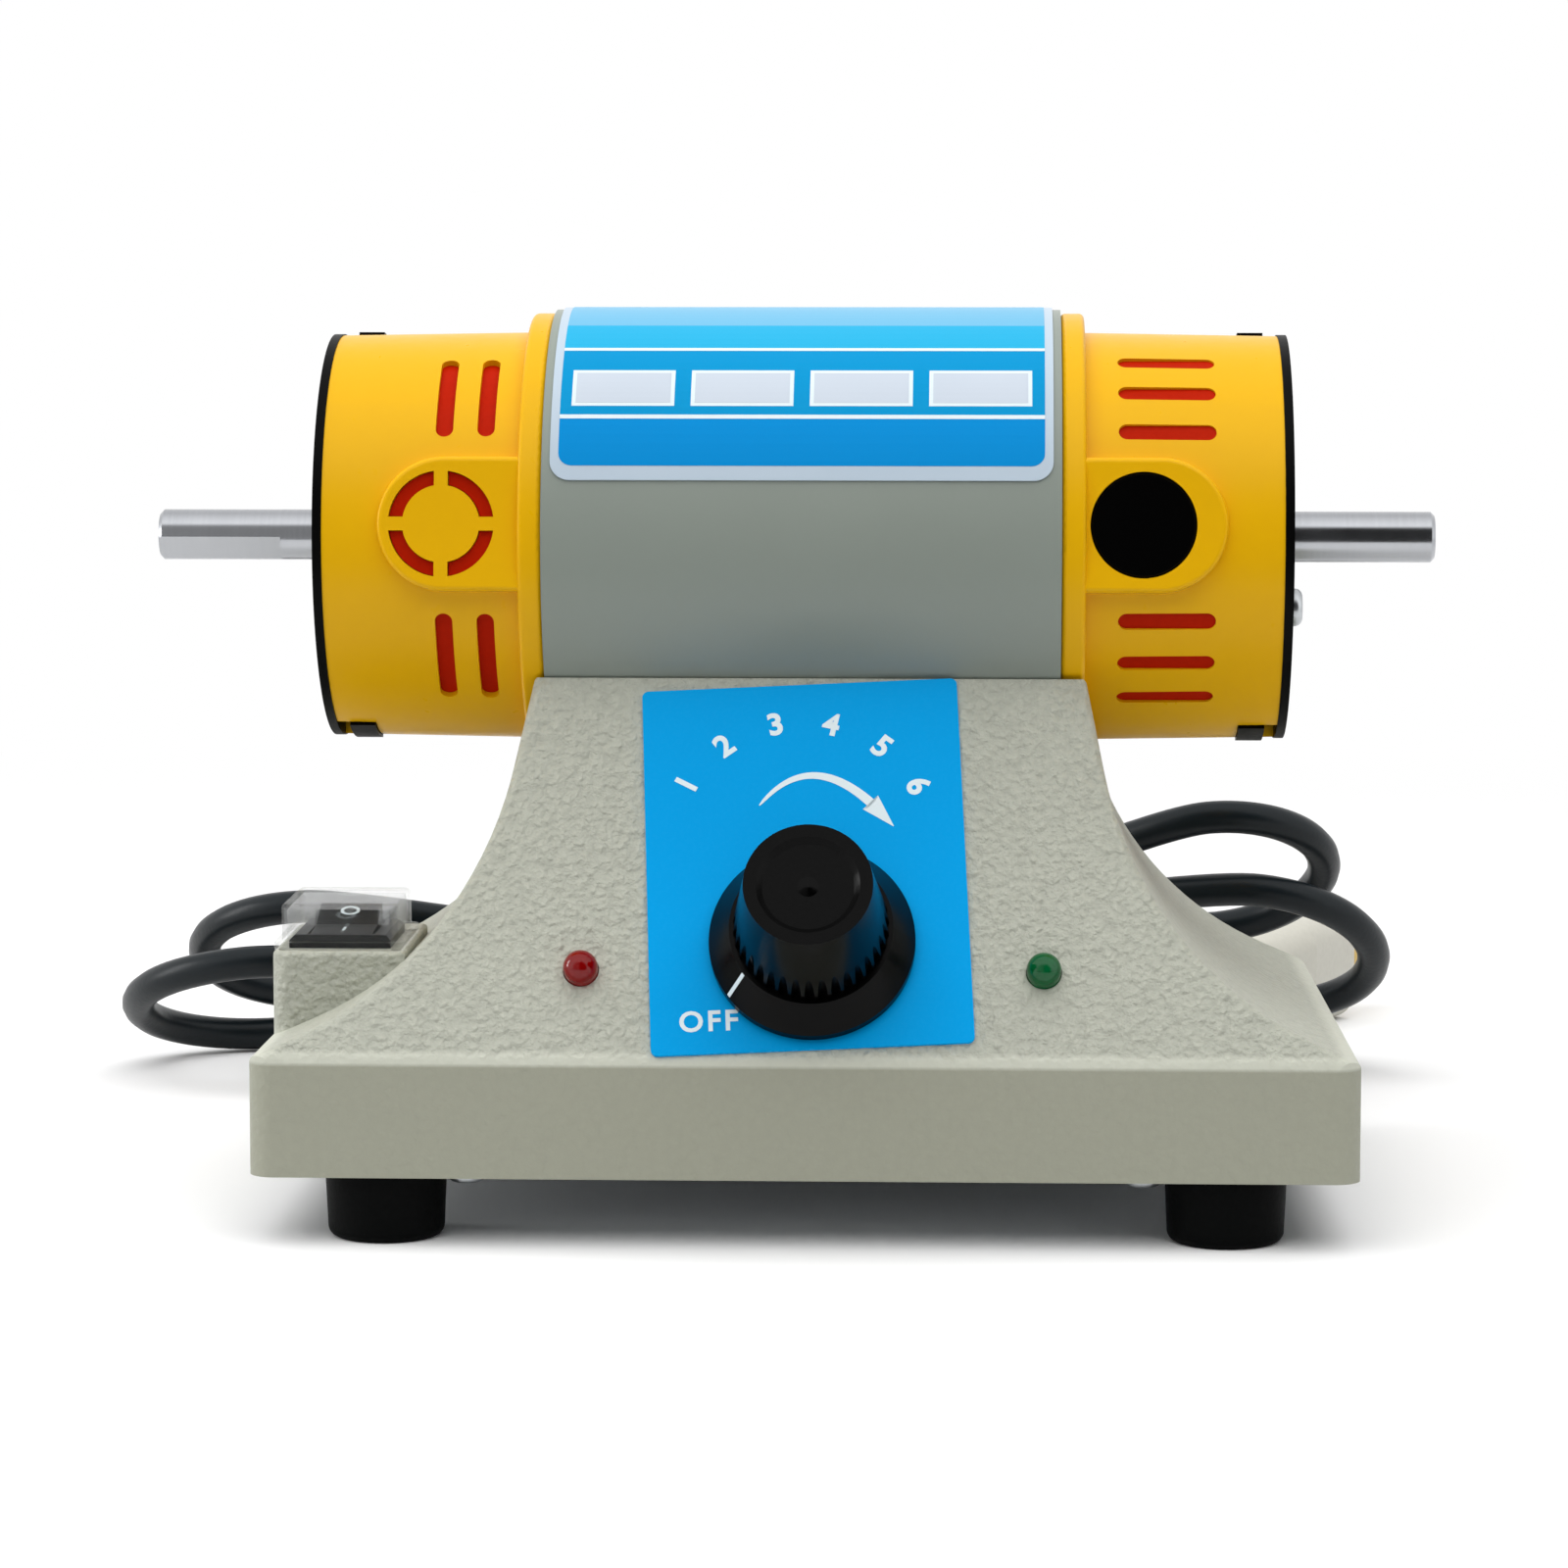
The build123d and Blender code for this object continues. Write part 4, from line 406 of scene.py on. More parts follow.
def turned_steel(name, colour, shade, pitch, roughness):
    """Metal ground, stacked or wound about the spindle: rings across it, bright with darker lines. Real
    grinding lines are about 0.05 mm apart, too fine to show, so they are drawn coarser, at the pitch."""
    material, tree, surface, place = new_material(name, Metallic=1.0)
    stretch = add(tree, "ShaderNodeMapping", inputs={"Vector": place, "Scale": TOOL_MARK_STRETCH})
    rings = add(tree, "ShaderNodeTexNoise",
                inputs={"Vector": stretch.outputs[0], "Scale": per_mm(pitch), "Detail": 3.0})
    smear = add(tree, "ShaderNodeTexNoise", inputs={"Vector": place, "Scale": per_mm(SMEAR), "Detail": 3.0})
    ring = rings.outputs["Fac"]
    worn = [roughness + wear for wear in SMEAR_WEAR]
    vary(tree, surface, (colour, shade), worn, ring, smear.outputs["Fac"], ring, TOOL_MARK_DEPTH)
    return material


MOTTLE_DEPTH = 0.01
MOTTLE_WEAR = (-0.08, 0.1)


def plated_metal(name, colour, shade, grain, roughness):
    """Small metal parts, plated or as drawn: bright, with a fine mottle that breaks the gloss."""
    material, tree, surface, place = new_material(name, Metallic=1.0)
    mottles = add(tree, "ShaderNodeTexNoise", inputs={"Vector": place, "Scale": per_mm(grain), "Detail": 4.0})
    mottle = mottles.outputs["Fac"]
    worn = [roughness + wear for wear in MOTTLE_WEAR]
    vary(tree, surface, (colour, shade), worn, mottle, mottle, mottle, MOTTLE_DEPTH)
    return material


# Printed film: ripples where it was stuck, and the grain of its print, which is about 0.1 mm in the real one,
# too fine to show, and so is drawn coarser
RIPPLE = 18.0
RIPPLE_DEPTH = 0.15
FILM_GRAIN = 0.7
FILM_GRAIN_DEPTH = 0.004
FILM_WEAR = (-0.04, 0.06)

# Blue bands of the label, paler upwards as painted light, each from an angle above its front, and the angle
# where the last one ends
LABEL_LIGHT_BANDS = ((0.0, "#0289cf"), (33.6, "#0690c8"), (56.0, "#2aaad6"), (67.7, "#70b4d6"))
BAND_RANGE = 120.0


def printed_film(name, colour, shade, roughness, **sockets):
    """Screen-printed polyester film: flat colour under a clear face, with slight ripples."""
    material, tree, surface, place = new_material(name, **sockets)
    ripples = add(tree, "ShaderNodeTexNoise",
                  inputs={"Vector": place, "Scale": per_mm(RIPPLE), "Detail": 1.0})
    grain = add(tree, "ShaderNodeTexNoise",
                inputs={"Vector": place, "Scale": per_mm(FILM_GRAIN), "Detail": 2.0})
    ripple = ripples.outputs["Fac"]
    worn = [roughness + wear for wear in FILM_WEAR]
    vary(tree, surface, (colour, shade), worn, ripple, grain.outputs["Fac"], ripple, RIPPLE_DEPTH)
    return material


def lit_banded_film(name, roughness, **sockets):
    """Film of the label: flat bands of blue across it, paler towards the top of the tube as painted light
    from above.
    """
    material, tree, surface, place = new_material(name, Roughness=roughness, **sockets)
    centred = add(tree, "ShaderNodeMapping",
                  inputs={"Vector": place, "Location": (0.0, -AXIS_Y * MM, -AXIS_Z * MM)})
    axes = add(tree, "ShaderNodeSeparateXYZ", inputs={"Vector": centred.outputs[0]})
    front = add(tree, "ShaderNodeMath", {"operation": "MULTIPLY"}, {0: axes.outputs["Y"], 1: -1.0})
    angle = add(tree, "ShaderNodeMath", {"operation": "ARCTAN2"},
                {0: axes.outputs["Z"], 1: front.outputs[0]})
    share = add(tree, "ShaderNodeMapRange",
                inputs={"Value": angle.outputs[0], "From Max": math.radians(BAND_RANGE)})
    bands = add(tree, "ShaderNodeValToRGB", inputs={"Fac": share.outputs[0]})
    fill_ramp(bands, LABEL_LIGHT_BANDS, 0.0, BAND_RANGE).interpolation = "CONSTANT"
    dots = add(tree, "ShaderNodeTexNoise",
               inputs={"Vector": place, "Scale": per_mm(FILM_GRAIN), "Detail": 2.0})
    relief = add(tree, "ShaderNodeBump",
                 inputs={"Height": dots.outputs["Fac"], "Distance": FILM_GRAIN_DEPTH * MM})
    connect(tree, surface, bands.outputs["Color"], normal=relief.outputs["Normal"])
    return material


FLOW_MARK = 3.0
FLOW_WEAR = 0.08


def clear_plastic(name, colour, shade, roughness, **sockets):
    """Transparent moulded plastic: tinted or milky, with faint flow marks that blur it unevenly."""
    material, tree, surface, place = new_material(name, **sockets)
    flows = add(tree, "ShaderNodeTexNoise",
                inputs={"Vector": place, "Scale": per_mm(FLOW_MARK), "Detail": 2.0})
    flow = flows.outputs["Fac"]
    vary(tree, surface, (colour, shade), (roughness, roughness + FLOW_WEAR), flow, flow)
    return material


# The finishes, each with what its making gives the eye. A light and a dark colour come first, for the housing
# the colour that darkens its pits as painted shade, then the grain and its depth in millimetres where the
# finish has them, and the roughness.

# ABS from a mould etched with leather grain: matt, with painted shade in the pits between its pebbles
housing_abs = grained_moulding("grained_abs_grey", "#f0f0f0", 0.5, IOR=1.53, Specular_IOR_Level=0.3)
# ABS from a polished mould: smooth and full in colour, with a faint waviness
cap_abs = moulded_plastic("glossy_abs_yellow", "#e6b004", "#e4ad03", 2.5, 0.015, 0.3,
                          Specular_IOR_Level=0.14)
# Enamel baked on steel tube: an even satin grey
tube_enamel = sprayed_enamel("stove_enamel_grey", "#8c948c", "#889088", 0.34, Specular_IOR_Level=0.35)
# The same in black: deep, with hardly any sheen
plate_enamel = sprayed_enamel("stove_enamel_black", "#040404", "#020202", 0.42, Specular_IOR_Level=0.06)
# Steel ground round: bright, with long blurred streaks of light along the shaft
spindle_steel = turned_steel("ground_steel_bright", "#b2b4b8", "#a8aaae", 0.5, 0.18)
# Zinc on small screws: bluish white and a little cloudy
screw_zinc = plated_metal("zinc_plated_steel", "#c9ccce", "#a4a8ab", 1.2, 0.32)
# Dipped sheet: flat grey flakes some millimetres wide
plate_zinc = plated_metal("galvanised_steel_sheet", "#b9bdbf", "#969b9e", 5.0, 0.42)
# Hard steel polished for a bearing: the clearest mirror here
bearing_steel = plated_metal("polished_bearing_steel", "#c4c6c8", "#9fa2a5", 2.0, 0.22)
# Stacked sheets of about 0.5 mm: dull grey with an edge line at each sheet
core_steel = turned_steel("laminated_silicon_steel", "#8e9192", "#5f6263", 0.6, 0.45)
# Varnished wire wound tight: warm reddish lines, drawn about twice as thick as the wire, so that they show
copper_wire = turned_steel("enamelled_copper_wire", "#b9703f", "#7d4322", 0.9, 0.38)
# Brass from the lathe: warm yellow, a little clouded by handling
brass = plated_metal("turned_brass", "#d1b25f", "#a98b3f", 1.5, 0.3)
# Bare aluminium section: pale and satin
aluminium = plated_metal("extruded_aluminium", "#c6c9cb", "#a9adb0", 2.5, 0.4)
# Rubber from the mould: black and dull
foot_rubber = moulded_plastic("moulded_rubber_black", "#060707", "#030404", 0.8, 0.05, 0.6,
                              Specular_IOR_Level=0.05)
# Drawn rubber sheath: blue black, with a soft line of light along it
cord_rubber = moulded_plastic("extruded_rubber_blue_black", "#0f171b", "#0b1216", 0.9, 0.03, 0.36,
                              Specular_IOR_Level=0.22)
# Phenolic pressed in a polished mould: deep black with small sharp glints
knob_phenolic = moulded_plastic("moulded_phenolic_black", "#030303", "#010101", 0.6, 0.008, 0.22,
                                Specular_IOR_Level=0.08)
# Nylon moulded black: a weak satin gloss
switch_nylon = moulded_plastic("moulded_nylon_black", "#0a0b0c", "#060707", 0.7, 0.03, 0.4,
                               Specular_IOR_Level=0.08)
# Nylon moulded grey: satin
fan_nylon = moulded_plastic("moulded_nylon_grey", "#4a4d4f", "#3a3d3f", 0.9, 0.05, 0.45)
# Soft PVC: pale and matt, slightly yellow
plug_pvc = moulded_plastic("moulded_pvc_pale_grey", "#cfcdc2", "#c4c2b7", 1.0, 0.05, 0.5)
# Glass cloth in epoxy under green lacquer: satin, slightly mottled
board_laminate = moulded_plastic("glass_epoxy_green", "#2f6b44", "#24563a", 0.6, 0.03, 0.45)
# Pressed and dyed paper fibre: a dull brick red
# Dull brick red for the vents' linings and sleeves: painted shade for the depth inside the vents
vent_shade_red = moulded_plastic("vent_lining_shade_red", "#b81f02", "#ab1a01", 0.8, 0.03, 0.5,
                               Specular_IOR_Level=0.04)
# Pressed carbon powder: dark grey and dull
brush_carbon = moulded_plastic("pressed_carbon", "#2a2a2b", "#1b1b1c", 0.5, 0.06, 0.6)
# Film silvered from behind: a pale blue grey margin
label_film = printed_film("polyester_film_silver", "#bccbd8", "#b5c5d3", 0.3, Specular_IOR_Level=0.2)
# Film in bands of blue with sharp steps between them, paler towards the top as painted light
lit_banded_blue = lit_banded_film("polyester_film_blue_lit_bands", 0.3, Specular_IOR_Level=0.04)
# Film printed in one blue: flat and bright, faintly rippled
blue_film = printed_film("polyester_film_blue", "#009ce0", "#0099dd", 0.26, Specular_IOR_Level=0.03)
# Screened inks: flat, opaque and satin
white_ink = printed_film("screen_ink_white", "#dfeaee", "#d9e6ea", 0.36, Specular_IOR_Level=0.2)
pale_ink = printed_film("screen_ink_pale_grey", "#c6cfda", "#c0cad6", 0.36, Specular_IOR_Level=0.2)
# Thin clear acrylic: the switch shows through, with pale edges and a light haze
cover_acrylic = clear_plastic("moulded_acrylic_clear", "#f4f7f7", "#e9eeee", 0.1, IOR=1.49,
                              Transmission_Weight=0.95, Alpha=0.2)
# Acrylic dyed right through: deep colour that is brighter where light goes through
red_lens = clear_plastic("tinted_acrylic_red", "#b00406", "#980304", 0.02, Specular_IOR_Level=0.15,
                         Transmission_Weight=0.5)
green_lens = clear_plastic("tinted_acrylic_green", "#037a40", "#036c38", 0.02, Specular_IOR_Level=0.15,
                           Transmission_Weight=0.5)

NODE_FINISHES = (
    (housing_abs, "base_housing"),
    (cap_abs, "left_end_cap right_end_cap"),
    (tube_enamel, "motor_tube"),
    (plate_enamel, "left_end_plate right_end_plate"),
    # The sleeves inside the caps take the same red, painted shade for the depth of the vents
    (vent_shade_red, "left_insulating_sleeve right_insulating_sleeve"),
    (spindle_steel, "spindle"),
    (screw_zinc, "bottom_plate_screws foot_screws foot_nuts board_screws cradle_screws"),
    (screw_zinc, "end_plate_screws tie_bolts"),
    (plate_zinc, "bottom_plate brush_springs potentiometer_nut"),
    (bearing_steel, "left_bearing_outer left_bearing_inner right_bearing_outer right_bearing_inner"),
    (core_steel, "armature_core stator_core"),
    (copper_wire, "armature_winding field_coils"),
    (brass, "commutator brush_holders plug_pins switch_terminals potentiometer_shaft"),
    (aluminium, "heat_sink"),
    (foot_rubber, "rubber_feet cord_gland cord_tie"),
    (knob_phenolic, "speed_knob front_brush_cap rear_brush_cap"),
    (switch_nylon, "switch_body switch_rocker potentiometer_body board_parts"),
    (fan_nylon, "cooling_fan"),
    (plug_pvc, "mains_plug plug_sleeve"),
    (board_laminate, "control_board"),
    (brush_carbon, "carbon_brushes"),
    (label_film, "motor_label"),
    (blue_film, "control_plate"),
    (cover_acrylic, "switch_cover"),
    (red_lens, "red_lamp"),
    (green_lens, "green_lamp"),
)


def dress_nodes():
    """Gives every solid its finish."""
    for material, names in NODE_FINISHES:
        for name in names.split():
            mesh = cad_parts[name].data
            mesh.materials.clear()
            mesh.materials.append(material)


dress_nodes()
mains_cord.data.materials.append(cord_rubber)


# Thin printed pieces and the red lining

PRINT_LIFT = 0.05
PRINT_SINK = 0.02


def link_mesh(name, mesh, material, body):
    """Puts a finished mesh in the scene as a piece of that body."""
    mesh.materials.clear()
    mesh.materials.append(material)
    piece = bpy.data.objects.new(name, mesh)
    bpy.context.collection.objects.link(piece)
    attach(piece, body)
    return piece


def finished_mesh(holder):
    """The plain mesh that a helper object ends in; the helper is removed."""
    bpy.context.collection.objects.link(holder)
    mesh = bpy.data.meshes.new_from_object(holder.evaluated_get(bpy.context.evaluated_depsgraph_get()))
    bpy.data.objects.remove(holder)
    return mesh


def ribbon(rows, ways, above, below):
    """Closed thin mesh over rows of left and right points, each row with its outward way; heights in mm."""
    mesh = bpy.data.meshes.new("ribbon")
    shape = bmesh.new()
    rings = []
    for (left, right), way in zip(rows, ways):
        corners = [right + way * above, left + way * above, left - way * below, right - way * below]
        rings.append([shape.verts.new(corner * MM) for corner in corners])
    for ring, after in zip(rings, rings[1:]):
        for i in range(4):
            j = (i + 1) % 4
            shape.faces.new((ring[i], ring[j], after[j], after[i]))
    shape.faces.new(rings[0][::-1])
    shape.faces.new(rings[-1])
    bmesh.ops.recalc_face_normals(shape, faces=shape.faces)
    shape.to_mesh(mesh)
    shape.free()
    return mesh


def facing(angle):
    """Up and out of a face that looks to the front and that many degrees upwards."""
    turn = math.radians(angle)
    up = Vector((0.0, math.sin(turn), math.cos(turn)))
    return up, Vector((0.0, -math.cos(turn), math.sin(turn)))


def on_label(x, angle):
    """Point and outward way on the label's face at an angle above its front."""
    way = facing(angle)[1]
    return Vector((x, AXIS_Y, AXIS_Z)) + way * LABEL_FACE_R, way


PATCH_STEP = 2.5
CORNER_STEPS = 6


def label_patch(x0, x1, angle_from, angle_to, corner, above):
    """Thin patch wrapped on the label, with rounded corners."""
    corner_angle = math.degrees(corner / LABEL_FACE_R)
    span = angle_to - angle_from - 2 * corner_angle
    count = max(1, round(span / PATCH_STEP))
    bends = [math.radians(90.0 * i / CORNER_STEPS) for i in range(CORNER_STEPS + 1)] if corner else []
    stops = [(angle_from + corner_angle * (1 - math.cos(b)), corner * (1 - math.sin(b))) for b in bends]
    stops += [(angle_from + corner_angle + span * i / count, 0.0) for i in range(count + 1)]
    stops += [(angle_from + angle_to - angle, inset) for angle, inset in reversed(stops[:len(bends)])]
    rows = [(on_label(x0 + inset, angle)[0], on_label(x1 - inset, angle)[0]) for angle, inset in stops]
    ways = [on_label(x0, angle)[1] for angle, inset in stops]
    return ribbon(rows, ways, above, PRINT_SINK)


# Blue field of the label and the two lines across it
BLUE_HALF = 36.9
BLUE_FROM = 20.6
BLUE_TO = 116.0
BLUE_CORNER = 2.0
INK_LIFT = 0.09
LINE_ANGLES = (33.6, 56.0)
LINE_HALF_WIDTH = 0.35


def make_label_print():
    """Blue field of the label and the fine white lines across it."""
    x0 = LABEL_X - BLUE_HALF
    x1 = LABEL_X + BLUE_HALF
    field = label_patch(x0, x1, BLUE_FROM, BLUE_TO, BLUE_CORNER, PRINT_LIFT)
    link_mesh("label_blue_field", field, lit_banded_blue, "machine")
    half = math.degrees(LINE_HALF_WIDTH / LABEL_FACE_R)
    for number, angle in enumerate(LINE_ANGLES):
        line = label_patch(x0, x1, angle - half, angle + half, 0.0, INK_LIFT)
        link_mesh(f"label_line_{number + 1}", line, white_ink, "machine")


def wrapped_row_tree():
    """Nodes for a row of thin plates bent round the spindle line: points on a line, a plate on each, then
    the bend."""
    tree = bpy.data.node_groups.new("wrapped_row", "GeometryNodeTree")
    kinds = {"Vector": ("Size", "Start", "Step"), "Float": ("Angle", "Radius", "Axis Y", "Axis Z"),
             "Int": ("Count", "Rows"), "Material": ("Finish",)}
    for kind, names in kinds.items():
        for name in names:
            tree.interface.new_socket(name, in_out="INPUT", socket_type=f"NodeSocket{kind}")
    tree.interface.new_socket("Geometry", in_out="OUTPUT", socket_type="NodeSocketGeometry")
    given = add(tree, "NodeGroupInput").outputs
    plate = add(tree, "GeometryNodeMeshCube", inputs={"Size": given["Size"], "Vertices Y": given["Rows"]})
    line = add(tree, "GeometryNodeMeshLine",
               inputs={"Count": given["Count"], "Start Location": given["Start"], "Offset": given["Step"]})
    row = add(tree, "GeometryNodeInstanceOnPoints",
              inputs={"Points": line.outputs[0], "Instance": plate.outputs["Mesh"]})
    real = add(tree, "GeometryNodeRealizeInstances", inputs={"Geometry": row.outputs[0]})
    place = add(tree, "GeometryNodeInputPosition")
    flat = add(tree, "ShaderNodeSeparateXYZ", inputs={"Vector": place.outputs[0]})
    arc = add(tree, "ShaderNodeMath", {"operation": "DIVIDE"}, {0: flat.outputs["Y"], 1: given["Radius"]})
    turn = add(tree, "ShaderNodeMath", {"operation": "ADD"}, {0: arc.outputs[0], 1: given["Angle"]})
    reach = add(tree, "ShaderNodeMath", {"operation": "ADD"}, {0: flat.outputs["Z"], 1: given["Radius"]})
    cosine = add(tree, "ShaderNodeMath", {"operation": "COSINE"}, {0: turn.outputs[0]})
    sine = add(tree, "ShaderNodeMath", {"operation": "SINE"}, {0: turn.outputs[0]})
    ahead = add(tree, "ShaderNodeMath", {"operation": "MULTIPLY"},
                {0: reach.outputs[0], 1: cosine.outputs[0]})
    depth = add(tree, "ShaderNodeMath", {"operation": "SUBTRACT"},
                {0: given["Axis Y"], 1: ahead.outputs[0]})
    above = add(tree, "ShaderNodeMath", {"operation": "MULTIPLY_ADD"},
                {0: reach.outputs[0], 1: sine.outputs[0], 2: given["Axis Z"]})
    bent = add(tree, "ShaderNodeCombineXYZ",
               inputs={"X": flat.outputs["X"], "Y": depth.outputs[0], "Z": above.outputs[0]})
    wrap = add(tree, "GeometryNodeSetPosition",
               inputs={"Geometry": real.outputs[0], "Position": bent.outputs[0]})
    dressed = add(tree, "GeometryNodeSetMaterial",
                  inputs={"Geometry": wrap.outputs[0], "Material": given["Finish"]})
    add(tree, "NodeGroupOutput", inputs={"Geometry": dressed.outputs[0]})
    return tree


def wrapped_row(tree, finish, count, rows, size, start, step, angle, radius):
    """A row of thin plates bent round the spindle line, as a plain mesh; lengths in millimetres."""
    values = {
        "Size": metres(size),
        "Start": metres(start),
        "Step": metres(step),
        "Angle": math.radians(angle),
        "Radius": radius * MM,
        "Axis Y": AXIS_Y * MM,
        "Axis Z": AXIS_Z * MM,
        "Count": count,
        "Rows": rows,
        "Finish": finish,
    }
    holder = bpy.data.objects.new("holder", bpy.data.meshes.new("holder"))
    grower = holder.modifiers.new("grower", "NODES")
    grower.node_group = tree
    for socket in tree.interface.items_tree:
        if socket.in_out == "INPUT":
            grower[socket.identifier] = values[socket.name]
    return finished_mesh(holder)


# Blank fields of the label
FIELD_COUNT = 4
FIELD_FIRST_X = -25.15
FIELD_PITCH = 18.16
FIELD_WIDTH = 15.66
FIELD_ANGLE = 42.35
FIELD_HEIGHT = 7.1
FIELD_RIM = 0.6
FIELD_ROWS = 7
FIELD_THICK = 0.06
RIM_LIFT = 0.08
FACE_LIFT = 0.11


def make_fields(tree):
    """Four blank fields across the label, each a white rim with a paler face on it."""
    start = (FIELD_FIRST_X, 0.0, 0.0)
    step = (FIELD_PITCH, 0.0, 0.0)
    layers = (
        ("label_field_rims", 0.0, RIM_LIFT, white_ink),
        ("label_field_faces", FIELD_RIM, FACE_LIFT, pale_ink),
    )
    for name, inset, lift, ink in layers:
        size = (FIELD_WIDTH - 2 * inset, FIELD_HEIGHT - 2 * inset, FIELD_THICK)
        radius = LABEL_FACE_R + lift - FIELD_THICK / 2
        mesh = wrapped_row(tree, ink, FIELD_COUNT, FIELD_ROWS, size, start, step, FIELD_ANGLE, radius)
        link_mesh(name, mesh, ink, "machine")


# Lining in the caps' vents: straight slots above and below each brush pad, and the left pad's ring of slots
PAD_ANGLE = 6.5
LINING_THICK = 1.3
RIGHT_LINING_R = 31.35
RIGHT_SLOT_X = 57.8
RIGHT_SLOT = (15.5, 3.3)
RIGHT_SLOT_FIRST = 27.0
RIGHT_SLOT_STEP = 13.5
RIGHT_SLOTS = 3
RIGHT_SLOT_ROWS = 4
LEFT_LINING_R = 30.9
LEFT_SLOT_X = -46.3
LEFT_SLOT = (3.3, 17.3)
LEFT_SLOT_MIDDLE = 40.1
LEFT_SLOT_STEP = -6.4
LEFT_SLOTS = 2
LEFT_SLOT_ROWS = 13
RING_X = -52.7
RING_FACE_R = 32.3
RING_RADII = (6.0, 8.0)
RING_GAP = 1.15
RING_STEPS = 12


def joined(meshes):
    """Several meshes as one."""
    shape = bmesh.new()
    for mesh in meshes:
        shape.from_mesh(mesh)
    whole = bpy.data.meshes.new("joined")
    shape.to_mesh(whole)
    shape.free()
    return whole


def ring_pads(face):
    """Lining in the four curved slots of the left cap's ring vent, at an angle above the front."""
    up, out = facing(face)
    along = Vector((1.0, 0.0, 0.0))
    middle = Vector((RING_X, AXIS_Y, AXIS_Z)) + out * RING_FACE_R
    pads = []
    for quarter in range(4):
        rows = []
        for step in range(RING_STEPS + 1):
            points = []
            for radius in RING_RADII:
                edge = math.asin(RING_GAP / radius)
                bend = quarter * math.pi / 2 + edge + (math.pi / 2 - 2 * edge) * step / RING_STEPS
                points.append(middle + (along * math.cos(bend) + up * math.sin(bend)) * radius)
            rows.append(points)
        pads.append(ribbon(rows, [out] * len(rows), 0.0, LINING_THICK))
    return pads


def make_lining(tree):
    """Red lining sheets in the caps' vents, a little under their outer face, whose red is painted shade for
    the depth of the vents.
    """
    right_middle = RIGHT_LINING_R - LINING_THICK / 2
    left_middle = LEFT_LINING_R - LINING_THICK / 2
    right_size = (*RIGHT_SLOT, LINING_THICK)
    left_size = (*LEFT_SLOT, LINING_THICK)
    right_start = (RIGHT_SLOT_X, 0.0, 0.0)
    left_start = (LEFT_SLOT_X, 0.0, 0.0)
    right_step = (0.0, right_middle * math.radians(RIGHT_SLOT_STEP), 0.0)
    left_step = (LEFT_SLOT_STEP, 0.0, 0.0)
    right_last = RIGHT_SLOT_FIRST + (RIGHT_SLOTS - 1) * RIGHT_SLOT_STEP
    left, right = [], []
    for face in (PAD_ANGLE, PAD_ANGLE + 180.0):
        for angle in (face + RIGHT_SLOT_FIRST, face - right_last):
            right.append(wrapped_row(tree, vent_shade_red, RIGHT_SLOTS, RIGHT_SLOT_ROWS, right_size,
                                     right_start, right_step, angle, right_middle))
        for angle in (face + LEFT_SLOT_MIDDLE, face - LEFT_SLOT_MIDDLE):
            left.append(wrapped_row(tree, vent_shade_red, LEFT_SLOTS, LEFT_SLOT_ROWS, left_size,
                                    left_start, left_step, angle, left_middle))
        left += ring_pads(face)
    for name, meshes in (("left_lining", left), ("right_lining", right)):
        link_mesh(name, joined(meshes), vent_shade_red, "machine")


def panel_matrix():
    """Frame of the slanted panel: x along it, y up it, z out of it, in millimetres."""
    up, out = facing(PANEL_SLANT)
    along = Vector((1.0, 0.0, 0.0))
    return Matrix.Translation(PANEL_ORIGIN) @ Matrix((along, up, out)).transposed().to_4x4()


# Turning arrow on the plate: points of its arch, the share of it before the head, and half its widths
ARROW_TAIL = (-8.4, 41.5)
ARROW_PEAK = (0.9, 46.4)
ARROW_TIP = (11.9, 38.2)
ARROW_NECK = 0.86
ARROW_THIN = 0.1
ARROW_WIDE = 0.72
ARROW_WING = 1.6
ARROW_BARB = 0.4
ARROW_POINT = 0.05
ARROW_STEPS = 24
ARROW_AHEAD = 0.01


def arrow_line(share):
    """Centre line of the arrow, an arch from its tail over its peak to its tip."""
    tail, peak, tip = [Vector((*point, PLATE_FACE)) for point in (ARROW_TAIL, ARROW_PEAK, ARROW_TIP)]
    crown = 2 * peak - (tail + tip) / 2
    return tail.lerp(crown, share).lerp(crown.lerp(tip, share), share)


def make_arrow():
    """White turning arrow on the control plate, swelling from a thin tail to a barbed head."""
    place = panel_matrix()
    rows = []
    for step in range(ARROW_STEPS + 1):
        share = ARROW_NECK * step / ARROW_STEPS
        way = (arrow_line(share + ARROW_AHEAD) - arrow_line(share)).normalized()
        side = Vector((-way.y, way.x, 0.0))
        half = ARROW_THIN + (ARROW_WIDE - ARROW_THIN) * math.sqrt(share / ARROW_NECK)
        rows.append((arrow_line(share) + side * half, arrow_line(share) - side * half))
    neck = arrow_line(ARROW_NECK) - way * ARROW_BARB
    rows.append((neck + side * ARROW_WING, neck - side * ARROW_WING))
    tip = arrow_line(1.0)
    rows.append((tip + side * ARROW_POINT, tip - side * ARROW_POINT))
    rows = [(place @ left, place @ right) for left, right in rows]
    out = (place.to_3x3() @ Vector((0.0, 0.0, 1.0))).normalized()
    mesh = ribbon(rows, [out] * len(rows), PRINT_LIFT, PRINT_SINK)
    link_mesh("turning_arrow", mesh, white_ink, "machine")


# Line on the knob's skirt: its angle, half its width, and its ends as shares of the skirt
POINTER_ANGLE = 217.0
POINTER_HALF = 0.3
POINTER_ENDS = (0.05, 0.95)
POINTER_LIFT = 0.08
POINTER_SINK = 0.3


